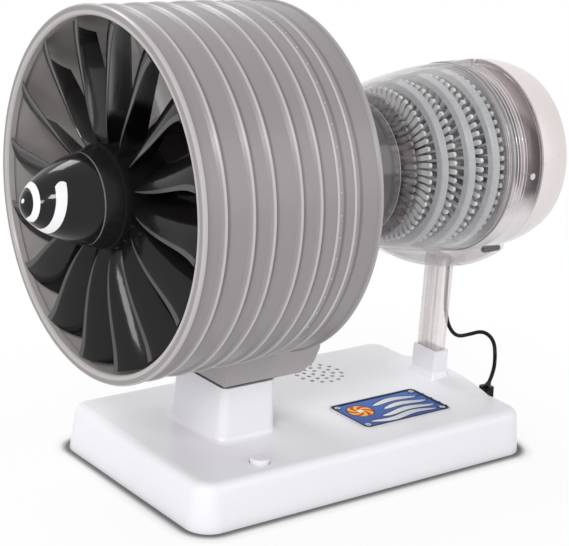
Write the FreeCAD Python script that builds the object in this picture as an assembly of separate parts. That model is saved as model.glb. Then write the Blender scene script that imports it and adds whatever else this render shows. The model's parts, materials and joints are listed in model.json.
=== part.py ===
"""Battery-powered desktop model of a fan jet engine on a moulded stand.

Millimetres. +X runs from the intake to the exhaust, +Z is up, and the origin is the middle of the
base's underside. The engine's own axis is the line y = 0, z = AXIS_HEIGHT. Angles round that axis
are measured from the -Y side towards the top.
"""
import FreeCAD, Part
import math
import os

# ---- Fits ------------------------------------------------------------------------------------
RUNNING_GAP = 0.06          # radial clearance of a shaft in its bearing
SEAT_GAP = 0.15             # clearance between fixed pieces that seat in each other
TIP_GAP = 1.2               # clearance of moving blades to the fixed wall around them
END_PLAY = 0.4              # axial clearance of the rotor at its bearings

# ---- Stand base ------------------------------------------------------------------------------
AXIS_HEIGHT = 169.8
BASE_LENGTH = 242.0
BASE_WIDTH = 144.0
BASE_HEIGHT = 27.0
BASE_CORNER = 14.0
BASE_DRAFT = 3.0            # inset of the deck's edge from the foot's edge
DECK_EDGE = 6.0             # radius of the rounded edge between wall and deck
BASE_WALL = 2.4
FLOOR_THICK = 2.2
SWELL_X = 113.0             # middle of the deck's low swelling behind the rear socket
SWELL_RISE = 4.4
SWELL_REACH = 36.0

PEDESTAL_FRONT = -75.7
PEDESTAL_LENGTH = 36.0
PEDESTAL_WIDTH = 49.0
PEDESTAL_CLEAR = 14.2       # from its rim straight up to the duct
PEDESTAL_DRAFT = 2.0        # how far its walls spread from the rim to the deck
PEDESTAL_FOOT = 4.0         # radius of the hollow corner between its walls and the deck
PEDESTAL_WALL = 2.2
PEDESTAL_CORNER = 4.0
SHELF_DEPTH = 12.0          # from the pedestal's rim down to the shelf that carries the saddle
SHELF_THICK = 2.4

POST_X = 101.6
POST_DEPTH = 7.8
POST_WIDTH = 17.0
POST_WALL = 1.6
SOCKET_TOP = 47.5
SOCKET_WALL = 2.0
SOCKET_FLOOR = 30.0
SOCKET_FLARE = 2.5          # rounded foot of the socket on the deck

# ---- Controls and inner parts of the base ----------------------------------------------------
BUTTON_X = -72.0
BUTTON_Y = -55.5
BUTTON_RADIUS = 5.5
BUTTON_PROUD = 3.0
BUTTON_TRAVEL = 1.2
BUTTON_FLANGE = 1.6
BOARD_BOTTOM = 8.0
BOARD_THICK = 1.6
BOARD_LENGTH = 46.0
BOARD_WIDTH = 108.0
BOARD_EDGE = 8.0            # from the button's middle to the board's near edge
BOARD_POST = 2.6
CHIP = (14.0, 36.0, 12.0, 8.0, 1.8)        # corner on the board, length, width and height
HEADER = (6.0, 94.0, 15.0, 5.0, 6.0)
CAN_RADIUS = 3.1
CAN_HEIGHT = 9.0
CAN_X = 34.0
CAN_Y = 40.0
CAN_PITCH = 12.0
CAN_COUNT = 3
SWITCH_SIDE = 6.2
SWITCH_HEIGHT = 3.6
PLUNGER_RADIUS = 1.75
PLUNGER_PROUD = 1.5

SPEAKER_X = 43.0
SPEAKER_Y = 37.5
SPEAKER_RADIUS = 18.0
SPEAKER_DEPTH = 7.0
GRILLE_HOLE = 1.5
GRILLE_RINGS = ((4.2, 4), (9.4, 10), (15.0, 15))      # radius and number of holes of each ring
GRILLE_TURN = 12.0          # angle of each ring's first hole past the ring inside it

PLATE_X = 44.0
PLATE_Y = -30.0
PLATE_LENGTH = 68.0
PLATE_WIDTH = 38.0
PLATE_THICK = 0.9
PLATE_CORNER = 4.5
PLATE_BORDER = 1.8
PLATE_RIVET = 1.9

CELL_RADIUS = 7.1
CELL_LENGTH = 49.2
CELL_COUNT = 3
CELL_PITCH = 15.2
BAY_X = 0.0
BAY_Y = -36.0
BAY_WALL = 1.5
CONTACT_THICK = 0.6

SCREW_HEAD = 2.6
SCREW_SHANK = 1.25
BOSS_RADIUS = 3.6
CORNER_SCREW_INSET = 18.0

# ---- Lead ------------------------------------------------------------------------------------
LEAD_RADIUS = 1.25
GROMMET_HEIGHT = 3.0
PLUG_Y = -29.5
PLUG_Z = 15.0
PLUG_DEPTH = 8.6
PLUG_WIDTH = 9.0
PLUG_BELOW = 5.0            # reach of the plug's grip below its barrel
PLUG_TOP = 27.0
NECK_LENGTH = 5.0
JACK_RADIUS = 3.2

# ---- Fan duct --------------------------------------------------------------------------------
DUCT_FRONT = -148.7
DUCT_REAR = -35.8
DUCT_RADIUS = 96.9
DUCT_WALL = 2.6
LIP_RADIUS = 98.8
LIP_BORE = 92.9
LIP_LENGTH = 4.6
RIB_RISE = 1.6
RIB_AHEAD = 2.3             # run of a rib's front slope
RIB_BEHIND = 0.55           # and of its steep rear face
RIB_FLAT = 0.3              # half width of its crest
RIB_CRESTS = (-134.6, -118.0, -105.4, -88.7, -76.4)
BAND_RISE = 0.9
BANDS = ((-65.2, -62.3), (-54.1, -51.5))
RIM_RADIUS = 98.0
RIM_LENGTH = 1.9

# ---- Saddle ----------------------------------------------------------------------------------
SADDLE_LIFT = 1.0           # dark gap between the pedestal's rim and the saddle's shoulder
SADDLE_INSET = 0.6
SADDLE_REAR = -9.0
SADDLE_BEVEL = 13.0
PYLON_WIDTH = 14.0
PYLON_LENGTH = 24.0
PYLON_DROP = 90.3           # from the engine's axis down to the saddle's top behind the duct

# ---- Fan and spinner -------------------------------------------------------------------------
BLADE_COUNT = 16
BLADE_PHASE = 14.0          # angle of one leading edge tip
BLADE_TIP = 91.2
BLADE_FRONT = -147.3
BLADE_REAR = -120.0
HUB_RADIUS = 28.0
HUB_WALL = 2.4
NECK_RADIUS = 24.2
NECK_STEP = 1.2             # low step of the hub where its blades begin
SPINNER_BASE = -156.0
SPINNER_TIP = -191.0
SPINNER_WALL = 2.0
NOSE_POINT = 0.55           # how bluntly the spinner's outline starts at its point
NOSE_FLARE = 1.25           # and how early it turns along the axis
SPIGOT_LENGTH = 4.0
HUB_BOSS = 7.0

# ---- Core ------------------------------------------------------------------------------------
SHAFT_RADIUS = 3.0
SHAFT_FRONT = -162.0
BEARING_RADIUS = 6.0
BEARING_LENGTH = 9.0
COWL_FRONT = -100.0
COWL_REAR = 27.0
COWL_NOSE_RADIUS = 38.0
COWL_RADIUS = 39.8
COWL_WALL = 2.0
COWL_WEB = -68.0            # front face of the web that carries the front bearing
WEB_THICK = 2.5

VANE_COUNT = 10
VANE_FRONT = -98.0
VANE_LENGTH = 22.0
VANE_THICK = 2.0
VANE_SWEEP = 9.0            # sideways run of a vane over its length
VANE_RING = 2.4

GEAR_MODULE = 0.9
GEAR_TOOTH_COUNT = 36
PINION_TOOTH_COUNT = 12
GEAR_WIDTH = 5.0
GEAR_ADDENDUM = 0.7
PINION_ADDENDUM = 0.9
GEAR_BACKLASH = 0.12
PLATE_GAP = 1.6             # clearance between the gears and the plate that carries the motor
MOTOR_RADIUS = 10.2
MOTOR_FLAT = 7.7
MOTOR_LENGTH = 26.0
MOTOR_SHAFT = 1.0

CASING_CREST = 108.0        # station of the casing's greatest radius
CASING_RADIUS = 56.8
CASING_REACH = 127.0        # half length of the ellipse that the casing follows
CASING_REAR = 97.2
CASING_WALL = 1.6
STATOR_SPANS = ((50.2, 54.7), (67.9, 72.8), (85.1, 90.4))
STATOR_DEPTH = 4.5
DISC_SPANS = ((29.0, 36.5), (40.8, 45.8), (57.0, 61.8), (75.3, 80.2), (91.6, 95.7))
DISC_BLADE_COUNT = 60
DISC_RIM = 0.64             # radius of a disc's rim as a share of its own blade tips' radius
DISC_RIM_THICK = 2.0
DISC_WEB = 2.0
DISC_BOSS = 6.0
DISC_BLADE_ROOT = 1.7
DISC_BLADE_TIP = 2.7
BLADE_CROWN = 1.1           # how far a small blade's tip is rounded down
STATOR_VANE_COUNT = 48
STATOR_VANE = 1.3           # thickness of the small vanes inside a stator ring
STATOR_VANE_REACH = 9.0     # how far they reach towards the shaft
STATOR_VANE_INSET = 1.2     # from a ring's edges to its vanes

BULKHEAD_THICK = 1.8
CASE_REAR = 122.4
CASE_RADIUS = 57.6
CASE_WALL = 2.0
CASE_FLANGE = 0.5
CASE_BEADS = (102.4, 104.4, 107.0, 109.2)
BEAD_RISE = 0.4
BEAD_HALF = 0.4
LINER_RADIUS = 53.0
LINER_FRONT = 101.0
LINER_WALL = 1.6
LINER_LEDGE = 32.0          # inner radius of the liner's front wall
LINER_LAP = 4.0             # how far the liner runs on into the nozzle
LAMP_COUNT = 6
LAMP_RADIUS = 2.5
LAMP_CIRCLE = 24.0
LAMP_LENGTH = 8.0
NOZZLE_REAR = 149.0
NOZZLE_END_RADIUS = 53.4
NOZZLE_BORE = 47.0
NOZZLE_WALL = 2.0
TURBINE_FRONT = 127.0
TURBINE_LENGTH = 7.0
TURBINE_BLADE_COUNT = 40
CONE_RADIUS = 20.0
CONE_LENGTH = 22.0

BELLY_LINE = ((44.0, 48.8), (56.0, 55.3), (68.5, 60.3), (93.7, 65.9), (111.6, 67.8), (133.0, 65.3),
              (142.5, 62.6))    # stations and drops below the engine's axis
BELLY_WIDTH = 27.0
BELLY_ROUND = 4.5
BELLY_DROP = 66.6           # drop of the level floor round the post
BELLY_WALL = 1.8
CLIP_FRONT = 124.5
CLIP_REAR = 139.5
CLIP_DROP = 58.7
CLIP_HEIGHT = 3.2
CASE_SCREW_X = 113.0

# ---- Worked out from the above ---------------------------------------------------------------
ALONG_X = FreeCAD.Vector(1, 0, 0)
ALONG_Z = FreeCAD.Vector(0, 0, 1)
DECK_UNDER = BASE_HEIGHT - BASE_WALL
DUCT_BORE = DUCT_RADIUS - DUCT_WALL
SHAFT_BORE = SHAFT_RADIUS + RUNNING_GAP
BEARING_FRONT = COWL_WEB - 3
GEAR_FRONT = BEARING_FRONT + BEARING_LENGTH + END_PLAY
PLATE_FRONT = GEAR_FRONT + GEAR_WIDTH + PLATE_GAP
GEAR_RADIUS = GEAR_MODULE * GEAR_TOOTH_COUNT / 2
PINION_RADIUS = GEAR_MODULE * PINION_TOOTH_COUNT / 2
MOTOR_DROP = GEAR_RADIUS + PINION_RADIUS
PEDESTAL_X = PEDESTAL_FRONT + PEDESTAL_LENGTH / 2
PEDESTAL_TOP = AXIS_HEIGHT - DUCT_RADIUS - PEDESTAL_CLEAR
SHELF_TOP = PEDESTAL_TOP - SHELF_DEPTH
SHAFT_REAR = TURBINE_FRONT + TURBINE_LENGTH
BELLY_BOTTOM = AXIS_HEIGHT - BELLY_DROP


# ---- Small tools -----------------------------------------------------------------------------
def vec(x, y, z):
    return FreeCAD.Vector(x, y, z)


def on_axis(x):
    """Point of the engine's axis at station x."""
    return vec(x, 0, AXIS_HEIGHT)


def round_axis(shape, degrees):
    """Copy of a shape turned about the engine's axis."""
    turned = shape.copy()
    turned.rotate(on_axis(0), ALONG_X, degrees)
    return turned


def box(x0, x1, y0, y1, z0, z1):
    return Part.makeBox(x1 - x0, y1 - y0, z1 - z0, vec(x0, y0, z0))


def rod(x0, x1, radius, drop=0.0):
    """Cylinder along X whose axis lies the given drop below the engine's axis."""
    return Part.makeCylinder(radius, x1 - x0, vec(x0, 0, AXIS_HEIGHT - drop), ALONG_X)


def peg(x, y, z0, z1, radius):
    """Upright cylinder."""
    return Part.makeCylinder(radius, z1 - z0, vec(x, y, z0), ALONG_Z)


def ring(x0, x1, inner, outer):
    return rod(x0, x1, outer).cut(rod(x0 - 1, x1 + 1, inner))


def turned(edges):
    """Solid turned about the engine's axis from the closed edges of a profile."""
    face = Part.Face(Part.Wire(Part.__sortEdges__(edges)))
    return face.revolve(on_axis(0), ALONG_X, 360)


def station(x, radius):
    """Point of a profile above the axis."""
    return vec(x, 0, AXIS_HEIGHT + radius)


def lines(points):
    """Straight edges through the stations given as (x, radius)."""
    ends = [station(x, radius) for x, radius in points]
    return [Part.makeLine(a, b) for a, b in zip(ends, ends[1:])]


def turned_polygon(points):
    return turned(lines(list(points) + [points[0]]))


def curve(points):
    """Smooth edge through the stations given as (x, radius)."""
    spline = Part.BSplineCurve()
    spline.interpolate([station(x, radius) for x, radius in points])
    return spline.toShape()


def rounded_wire(length, width, radius, x, y, z):
    """Flat rectangle with rounded corners, centred on (x, y)."""
    a = length / 2 - radius
    b = width / 2 - radius
    edges = []
    corners = ((a, b, 0), (-a, b, 90), (-a, -b, 180), (a, -b, 270))
    for number, (cx, cy, start) in enumerate(corners):
        centre = vec(x + cx, y + cy, z)
        edges.append(Part.makeCircle(radius, centre, ALONG_Z, start, start + 90))
        end = math.radians(start + 90)
        nx, ny, _ = corners[(number + 1) % 4]
        side = vec(radius * math.cos(end), radius * math.sin(end), 0)
        edges.append(Part.makeLine(centre + side, vec(x + nx, y + ny, z) + side))
    return Part.Wire(edges)


def rounded_block(length, width, radius, x, y, z0, z1, draft=0.0):
    """Upright block with rounded corners, drawn in by the draft at its top."""
    low = rounded_wire(length, width, radius, x, y, z0)
    high = rounded_wire(length - 2 * draft, width - 2 * draft, max(radius - draft, 0.5), x, y, z1)
    return Part.makeLoft([low, high], True, True)


def toothed_rod(x0, x1, count, root, tip, root_thick, tip_thick):
    """Prism whose outline has straight radial teeth with rounded-off tips."""
    points = []
    half = tip_thick / 2
    shoulder = tip - half * 0.8
    tooth = ((root, root_thick / 2), (shoulder, half), (tip, half * 0.45))
    for number in range(count):
        angle = 2 * math.pi * number / count
        outline = [(radius, -offset) for radius, offset in tooth] + list(reversed(tooth))
        for radius, offset in outline:
            lean = angle + math.asin(offset / radius)
            points.append(vec(x0, radius * math.cos(lean), AXIS_HEIGHT + radius * math.sin(lean)))
    face = Part.Face(Part.makePolygon(points + [points[0]]))
    return face.extrude(vec(x1 - x0, 0, 0))


def casing_radius(x):
    """Outer radius of the clear casing at station x."""
    return CASING_RADIUS * math.sqrt(1 - ((x - CASING_CREST) / CASING_REACH) ** 2)


def casing_station(radius):
    """Station ahead of the crest where the casing has the given outer radius."""
    return CASING_CREST - CASING_REACH * math.sqrt(1 - (radius / CASING_RADIUS) ** 2)


def casing_curve(x0, x1, inset=0.0):
    """Edge that follows the casing between two stations, drawn in by the inset."""
    steps = 6
    places = [x0 + (x1 - x0) * step / steps for step in range(steps + 1)]
    return curve([(x, casing_radius(x) - inset) for x in places])


# ---- Base ------------------------------------------------------------------------------------
def base_outside():
    """Drafted block of the base with its rounded deck edge and the swelling at the rear."""
    block = rounded_block(BASE_LENGTH, BASE_WIDTH, BASE_CORNER, 0, 0, 0, BASE_HEIGHT, BASE_DRAFT)
    rim = [edge for edge in block.Edges if edge.BoundBox.ZMin > BASE_HEIGHT - 0.01]
    block = block.makeFillet(DECK_EDGE, rim)
    radius = (SWELL_REACH ** 2 + SWELL_RISE ** 2) / (2 * SWELL_RISE)
    ball = Part.makeSphere(radius, vec(SWELL_X, 0, BASE_HEIGHT + SWELL_RISE - radius))
    inset = BASE_DRAFT + DECK_EDGE / 3
    deck = rounded_block(BASE_LENGTH - 2 * inset, BASE_WIDTH - 2 * inset, BASE_CORNER - DECK_EDGE / 2,
                         0, 0, BASE_HEIGHT - DECK_EDGE, BASE_HEIGHT + SWELL_RISE)
    return block.fuse(ball.common(deck))


def base_inside():
    """Hollow of the base below its deck."""
    return rounded_block(BASE_LENGTH - 2 * BASE_WALL, BASE_WIDTH - 2 * BASE_WALL, BASE_CORNER - BASE_WALL,
                         0, 0, -1, DECK_UNDER, BASE_DRAFT)


def corner_places():
    """Places of the screws that hold the floor."""
    x = BASE_LENGTH / 2 - CORNER_SCREW_INSET
    y = BASE_WIDTH / 2 - CORNER_SCREW_INSET
    return [(sx * x, sy * y) for sx in (-1, 1) for sy in (-1, 1)]


def saddle_screw_places():
    return [(PEDESTAL_X + side * PEDESTAL_LENGTH / 4, 0) for side in (-1, 1)]


def grille_places():
    """Rings of the speaker's sound holes."""
    places = []
    for turns, (radius, count) in enumerate(GRILLE_RINGS):
        for number in range(count):
            angle = math.radians(GRILLE_TURN * turns + 360 * number / count)
            places.append((SPEAKER_X + radius * math.cos(angle), SPEAKER_Y + radius * math.sin(angle)))
    return places


def pedestal():
    """Upright drafted socket for the saddle, before it is hollowed."""
    spread = 2 * PEDESTAL_DRAFT
    return rounded_block(PEDESTAL_LENGTH + spread, PEDESTAL_WIDTH + spread, PEDESTAL_CORNER + PEDESTAL_DRAFT,
                         PEDESTAL_X, 0, DECK_UNDER, PEDESTAL_TOP, PEDESTAL_DRAFT)


def base_with_pedestal():
    """Base and pedestal in one, with the rounded foot where they meet."""
    block = base_outside().fuse(pedestal())
    reach = PEDESTAL_LENGTH / 2 + 2 * PEDESTAL_DRAFT
    foot = [edge for edge in block.Edges
            if abs(edge.BoundBox.ZMin - BASE_HEIGHT) < 0.01 and edge.BoundBox.ZLength < 0.01
            and edge.BoundBox.XMin > PEDESTAL_X - reach and edge.BoundBox.XMax < PEDESTAL_X + reach]
    return block.makeFillet(PEDESTAL_FOOT, foot)


def pedestal_hollow(z0, z1):
    return rounded_block(PEDESTAL_LENGTH - 2 * PEDESTAL_WALL, PEDESTAL_WIDTH - 2 * PEDESTAL_WALL,
                         PEDESTAL_CORNER - PEDESTAL_WALL + 0.4, PEDESTAL_X, 0, z0, z1)


def rear_socket():
    """Upright socket for the rear post, with its flared foot on the deck's swelling."""
    depth = POST_DEPTH + 2 * (SOCKET_WALL + SEAT_GAP)
    width = POST_WIDTH + 2 * (SOCKET_WALL + SEAT_GAP)
    socket = rounded_block(depth, width, SOCKET_WALL, POST_X, 0, DECK_UNDER, SOCKET_TOP)
    low = BASE_HEIGHT + SWELL_RISE / 2
    flare = rounded_block(depth + 2 * SOCKET_FLARE, width + 2 * SOCKET_FLARE, SOCKET_WALL + SOCKET_FLARE,
                          POST_X, 0, low, low + SWELL_RISE / 2 + SOCKET_FLARE, SOCKET_FLARE)
    return socket.fuse(flare)


def post_hole():
    depth = POST_DEPTH + 2 * SEAT_GAP
    width = POST_WIDTH + 2 * SEAT_GAP
    return box(POST_X - depth / 2, POST_X + depth / 2, -width / 2, width / 2, SOCKET_FLOOR, SOCKET_TOP + 1)


def base_shell():
    """Moulded top of the stand, open below."""
    shell = base_with_pedestal().fuse(rear_socket())
    cuts = [base_inside(), pedestal_hollow(SHELF_TOP, PEDESTAL_TOP + 1),
            pedestal_hollow(DECK_UNDER - 1, SHELF_TOP - SHELF_THICK), post_hole()]
    cuts.append(peg(BUTTON_X, BUTTON_Y, 0, BASE_HEIGHT + 1, BUTTON_RADIUS + 0.4))
    cuts += [peg(x, y, 0, BASE_HEIGHT + 1, GRILLE_HOLE) for x, y in grille_places()]
    cuts += [peg(x, y, SHELF_TOP - SHELF_THICK - 1, SHELF_TOP + 1, SCREW_SHANK + 0.2)
             for x, y in saddle_screw_places()]
    cuts.append(jack_hole())
    shell = shell.cut(cuts)
    bosses = [peg(x, y, FLOOR_THICK, DECK_UNDER + 0.5, BOSS_RADIUS) for x, y in corner_places()]
    shell = shell.fuse(bosses)
    pilots = [peg(x, y, 0, DECK_UNDER - 4, SCREW_SHANK) for x, y in corner_places()]
    return shell.cut(pilots).removeSplitter()


def bay_length():
    return CELL_LENGTH + 2 * (CONTACT_THICK + 1.4)


def bay_width():
    return CELL_COUNT * CELL_PITCH + 0.6


def bay_block(extra, z0, z1):
    """Block of the battery bay's plan, grown by the given margin."""
    length = bay_length() / 2 + extra
    width = bay_width() / 2 + extra
    return box(BAY_X - length, BAY_X + length, BAY_Y - width, BAY_Y + width, z0, z1)


def bay_top():
    return FLOOR_THICK + 2 * CELL_RADIUS + 0.8


def base_floor():
    """Floor plate with the battery bay and the circuit board's posts."""
    gap = SEAT_GAP
    shrink = BASE_WALL + gap
    plate = rounded_block(BASE_LENGTH - 2 * shrink - 2 * FLOOR_THICK * BASE_DRAFT / BASE_HEIGHT,
                          BASE_WIDTH - 2 * shrink - 2 * FLOOR_THICK * BASE_DRAFT / BASE_HEIGHT,
                          BASE_CORNER - shrink, 0, 0, 0, FLOOR_THICK - gap)
    floor = plate.fuse([bay_block(BAY_WALL, 0, bay_top() + BAY_WALL)] + board_posts())
    cuts = [bay_block(0, FLOOR_THICK, bay_top()), bay_block(-1.5, -1, FLOOR_THICK + 1)]
    cuts.append(bay_block(0.8, -1, FLOOR_THICK - 0.8))
    cuts += [peg(x, y, -1, FLOOR_THICK + 1, SCREW_SHANK + 0.25) for x, y in corner_places()]
    cuts += [peg(x, y, -1, 1.2, SCREW_HEAD + 0.3) for x, y in corner_places()]
    cuts += [peg(x, y, -1, FLOOR_THICK + 1, SCREW_HEAD + 0.6) for x, y in saddle_screw_places()]
    return floor.cut(cuts)


def board_posts():
    inset = 2 * BOARD_POST
    x = BOARD_LENGTH / 2 - inset
    y = BOARD_WIDTH / 2 - inset
    return [peg(BUTTON_X + sx * x, board_middle() + sy * y, 0, BOARD_BOTTOM, BOARD_POST)
            for sx in (-1, 1) for sy in (-1, 1)]


def board_middle():
    """Y of the circuit board's centre: its near edge lies just outside the switch."""
    return BUTTON_Y - BOARD_EDGE + BOARD_WIDTH / 2


def battery_door():
    """Lid of the battery bay, set into the floor."""
    lid = bay_block(0.8 - SEAT_GAP, 0, FLOOR_THICK - 0.8 - SEAT_GAP)
    rib = bay_block(-1.5 - SEAT_GAP, FLOOR_THICK - 1.4, FLOOR_THICK - 0.1)
    return lid.fuse(rib)


def cell_places():
    return [BAY_Y + (number - (CELL_COUNT - 1) / 2) * CELL_PITCH for number in range(CELL_COUNT)]


def cell_height():
    return FLOOR_THICK + CELL_RADIUS + 0.2


def battery_cells():
    """Round cells side by side, every second one turned about."""
    cells = []
    for number, y in enumerate(cell_places()):
        x0 = BAY_X - CELL_LENGTH / 2
        can = Part.makeCylinder(CELL_RADIUS, CELL_LENGTH - 1.2, vec(x0, y, cell_height()), ALONG_X)
        cap = Part.makeCylinder(2.7, 1.2, vec(x0 + CELL_LENGTH - 1.2, y, cell_height()), ALONG_X)
        cell = can.fuse(cap)
        if number % 2:
            cell.rotate(vec(BAY_X, y, cell_height()), ALONG_Z, 180)
        cells.append(cell)
    return Part.makeCompound(cells)


def battery_contacts():
    """Spring plates at both ends of the bay."""
    plates = []
    for side in (-1, 1):
        wall = BAY_X + side * bay_length() / 2
        for y in cell_places():
            near, far = sorted((wall, wall - side * CONTACT_THICK))
            plate = box(near, far, y - 5, y + 5, FLOOR_THICK + 1, bay_top() - 1)
            start = wall - side * CONTACT_THICK
            coil = Part.makeCone(4.2, 2.8, 1.2, vec(start, y, cell_height()), vec(-side, 0, 0))
            plates.append(plate.fuse(coil))
    return Part.makeCompound(plates)


def board_block(place, x0, y0, top):
    """Block on the board, from its corner, length, width and height."""
    x, y, length, width, height = place
    return box(x0 + x, x0 + x + length, y0 + y, y0 + y + width, top, top + height)


def circuit_board():
    """Board with its sound chip, its capacitors and the wire header."""
    x0 = BUTTON_X - BOARD_LENGTH / 2
    y0 = board_middle() - BOARD_WIDTH / 2
    top = BOARD_BOTTOM + BOARD_THICK
    board = box(x0, x0 + BOARD_LENGTH, y0, y0 + BOARD_WIDTH, BOARD_BOTTOM, top)
    cans = [peg(x0 + CAN_X, y0 + CAN_Y + number * CAN_PITCH, top, top + CAN_HEIGHT, CAN_RADIUS)
            for number in range(CAN_COUNT)]
    return board.fuse([board_block(place, x0, y0, top) for place in (CHIP, HEADER)] + cans)


def switch_top():
    return BOARD_BOTTOM + BOARD_THICK + SWITCH_HEIGHT


def tact_switch():
    """Switch body on the board, hollow for its plunger."""
    half = SWITCH_SIDE / 2
    body = box(BUTTON_X - half, BUTTON_X + half, BUTTON_Y - half, BUTTON_Y + half,
               BOARD_BOTTOM + BOARD_THICK, switch_top())
    return body.cut(peg(BUTTON_X, BUTTON_Y, switch_top() - 2.6, switch_top() + 1,
                        PLUNGER_RADIUS + RUNNING_GAP))


def switch_plunger():
    """Plunger between the switch and the button's stem."""
    return peg(BUTTON_X, BUTTON_Y, switch_top() - 1.2, switch_top() + PLUNGER_PROUD, PLUNGER_RADIUS)


def push_button():
    """Round button with a flange below the deck and a stem to the plunger."""
    top = BASE_HEIGHT + BUTTON_PROUD
    cap = peg(BUTTON_X, BUTTON_Y, DECK_UNDER - SEAT_GAP, top, BUTTON_RADIUS)
    edge = [e for e in cap.Edges if e.BoundBox.ZMin > top - 0.01]
    cap = cap.makeFillet(1.2, edge)
    flange = peg(BUTTON_X, BUTTON_Y, DECK_UNDER - SEAT_GAP - BUTTON_FLANGE, DECK_UNDER - SEAT_GAP,
                 BUTTON_RADIUS + 1.6)
    stem = peg(BUTTON_X, BUTTON_Y, switch_top() + PLUNGER_PROUD, DECK_UNDER - SEAT_GAP - BUTTON_FLANGE,
               2.4)
    return cap.fuse([flange, stem])


def speaker():
    """Frame, cone dish and magnet of the speaker, face up under the deck."""
    top = DECK_UNDER - SEAT_GAP
    frame = peg(SPEAKER_X, SPEAKER_Y, top - 1.6, top, SPEAKER_RADIUS)
    dish = Part.makeCone(SPEAKER_RADIUS * 0.5, SPEAKER_RADIUS - 1.5, SPEAKER_DEPTH - 2.6,
                         vec(SPEAKER_X, SPEAKER_Y, top - SPEAKER_DEPTH + 1))
    magnet = peg(SPEAKER_X, SPEAKER_Y, top - SPEAKER_DEPTH - 2, top - SPEAKER_DEPTH + 1.2, 9.0)
    bowl = Part.makeCone(3.0, SPEAKER_RADIUS - 3, SPEAKER_DEPTH - 3.2,
                         vec(SPEAKER_X, SPEAKER_Y, top - SPEAKER_DEPTH + 3.2))
    return frame.fuse([dish, magnet]).cut(bowl)


def badge_plate():
    """Thin plate on the deck with a raised border and four rivet heads."""
    top = BASE_HEIGHT + PLATE_THICK
    plate = rounded_block(PLATE_LENGTH, PLATE_WIDTH, PLATE_CORNER, PLATE_X, PLATE_Y, BASE_HEIGHT, top)
    sunk = rounded_block(PLATE_LENGTH - 2 * PLATE_BORDER, PLATE_WIDTH - 2 * PLATE_BORDER,
                         PLATE_CORNER - PLATE_BORDER, PLATE_X, PLATE_Y, top - PLATE_THICK / 3, top + 1)
    plate = plate.cut(sunk)
    reach = PLATE_BORDER + PLATE_RIVET + 1.2
    heads = [peg(PLATE_X + sx * (PLATE_LENGTH / 2 - reach), PLATE_Y + sy * (PLATE_WIDTH / 2 - reach),
                 BASE_HEIGHT + 0.1, top, PLATE_RIVET) for sx in (-1, 1) for sy in (-1, 1)]
    return plate.fuse(heads)


def wall_outside(z=PLUG_Z):
    """Station of the rear wall's outer face at height z."""
    return BASE_LENGTH / 2 - BASE_DRAFT * z / BASE_HEIGHT


def jack_hole():
    return Part.makeCylinder(JACK_RADIUS + 0.6, 12, vec(wall_outside() - 8, PLUG_Y, PLUG_Z), ALONG_X)


def power_socket():
    """Round socket for the lead's plug, fixed in the rear wall."""
    half = JACK_RADIUS + 2.3
    shoulder = wall_outside(PLUG_Z + half) - BASE_WALL - 2 * SEAT_GAP
    start = shoulder - 6.0
    barrel = Part.makeCylinder(JACK_RADIUS + 0.45, wall_outside() - start, vec(start, PLUG_Y, PLUG_Z), ALONG_X)
    body = box(start, shoulder, PLUG_Y - half, PLUG_Y + half, PLUG_Z - half, PLUG_Z + half)
    bore = Part.makeCylinder(1.9, 8, vec(wall_outside() - 7.5, PLUG_Y, PLUG_Z), ALONG_X)
    return barrel.fuse(body).cut(bore)


def lead_plug():
    """Angled plug: a barrel into the socket and an upright grip that the lead leaves at the top."""
    low = PLUG_Z - PLUG_BELOW
    face = wall_outside(low) + 2 * SEAT_GAP
    grip = rounded_block(PLUG_DEPTH, PLUG_WIDTH, 2.0, face + PLUG_DEPTH / 2, PLUG_Y, low, PLUG_TOP, 0.8)
    barrel = Part.makeCylinder(1.75, 7.0, vec(face - 6.6, PLUG_Y, PLUG_Z), ALONG_X)
    start = vec(*LEAD_POINTS[-1]) - lead_end() * NECK_LENGTH
    neck = Part.makeCone(LEAD_RADIUS + 1.4, LEAD_RADIUS + 0.4, NECK_LENGTH, start, lead_end())
    return grip.fuse([barrel, neck])


def base_screws():
    """Screws that hold the floor to the shell."""
    screws = []
    for x, y in corner_places():
        head = peg(x, y, 0.1, 1.15, SCREW_HEAD)
        shank = peg(x, y, 1.0, 12.0, SCREW_SHANK - 0.02)
        slot = box(x - 2, x + 2, y - 0.35, y + 0.35, 0, 0.6)
        screws.append(head.fuse(shank).cut(slot))
    return Part.makeCompound(screws)


# ---- Lead ------------------------------------------------------------------------------------
LEAD_POINTS = (
    (104.2, -5.4, 105.0),
    (104.3, -5.4, 86.0),
    (105.5, -5.7, 72.0),
    (109.6, -6.0, 60.6),
    (117.4, -6.0, 53.3),
    (126.8, -6.6, 53.4),
    (136.0, -10.4, 55.8),
    (141.2, -15.6, 50.3),
    (139.8, -19.6, 40.4),
    (134.2, -24.8, 32.8),
    (126.2, -29.3, 28.6),
)


def lead_end():
    """Direction out of the plug along the lead's last run."""
    last = vec(*LEAD_POINTS[-1])
    before = vec(*LEAD_POINTS[-2])
    return (before - last).normalize()


def tangent_arc(before, corner, after):
    """Ends, middle and radius of the largest arc that rounds a corner of the lead's route."""
    back = before - corner
    ahead = after - corner
    turn = math.pi - back.getAngle(ahead)
    reach = 0.45 * min(back.Length, ahead.Length)
    radius = reach / math.tan(turn / 2)
    start = corner + back.normalize() * reach
    end = corner + ahead.normalize() * reach
    inward = (back + ahead).normalize()
    middle = corner + inward * (radius / math.cos(turn / 2) - radius)
    return start, middle, end, radius


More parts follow.
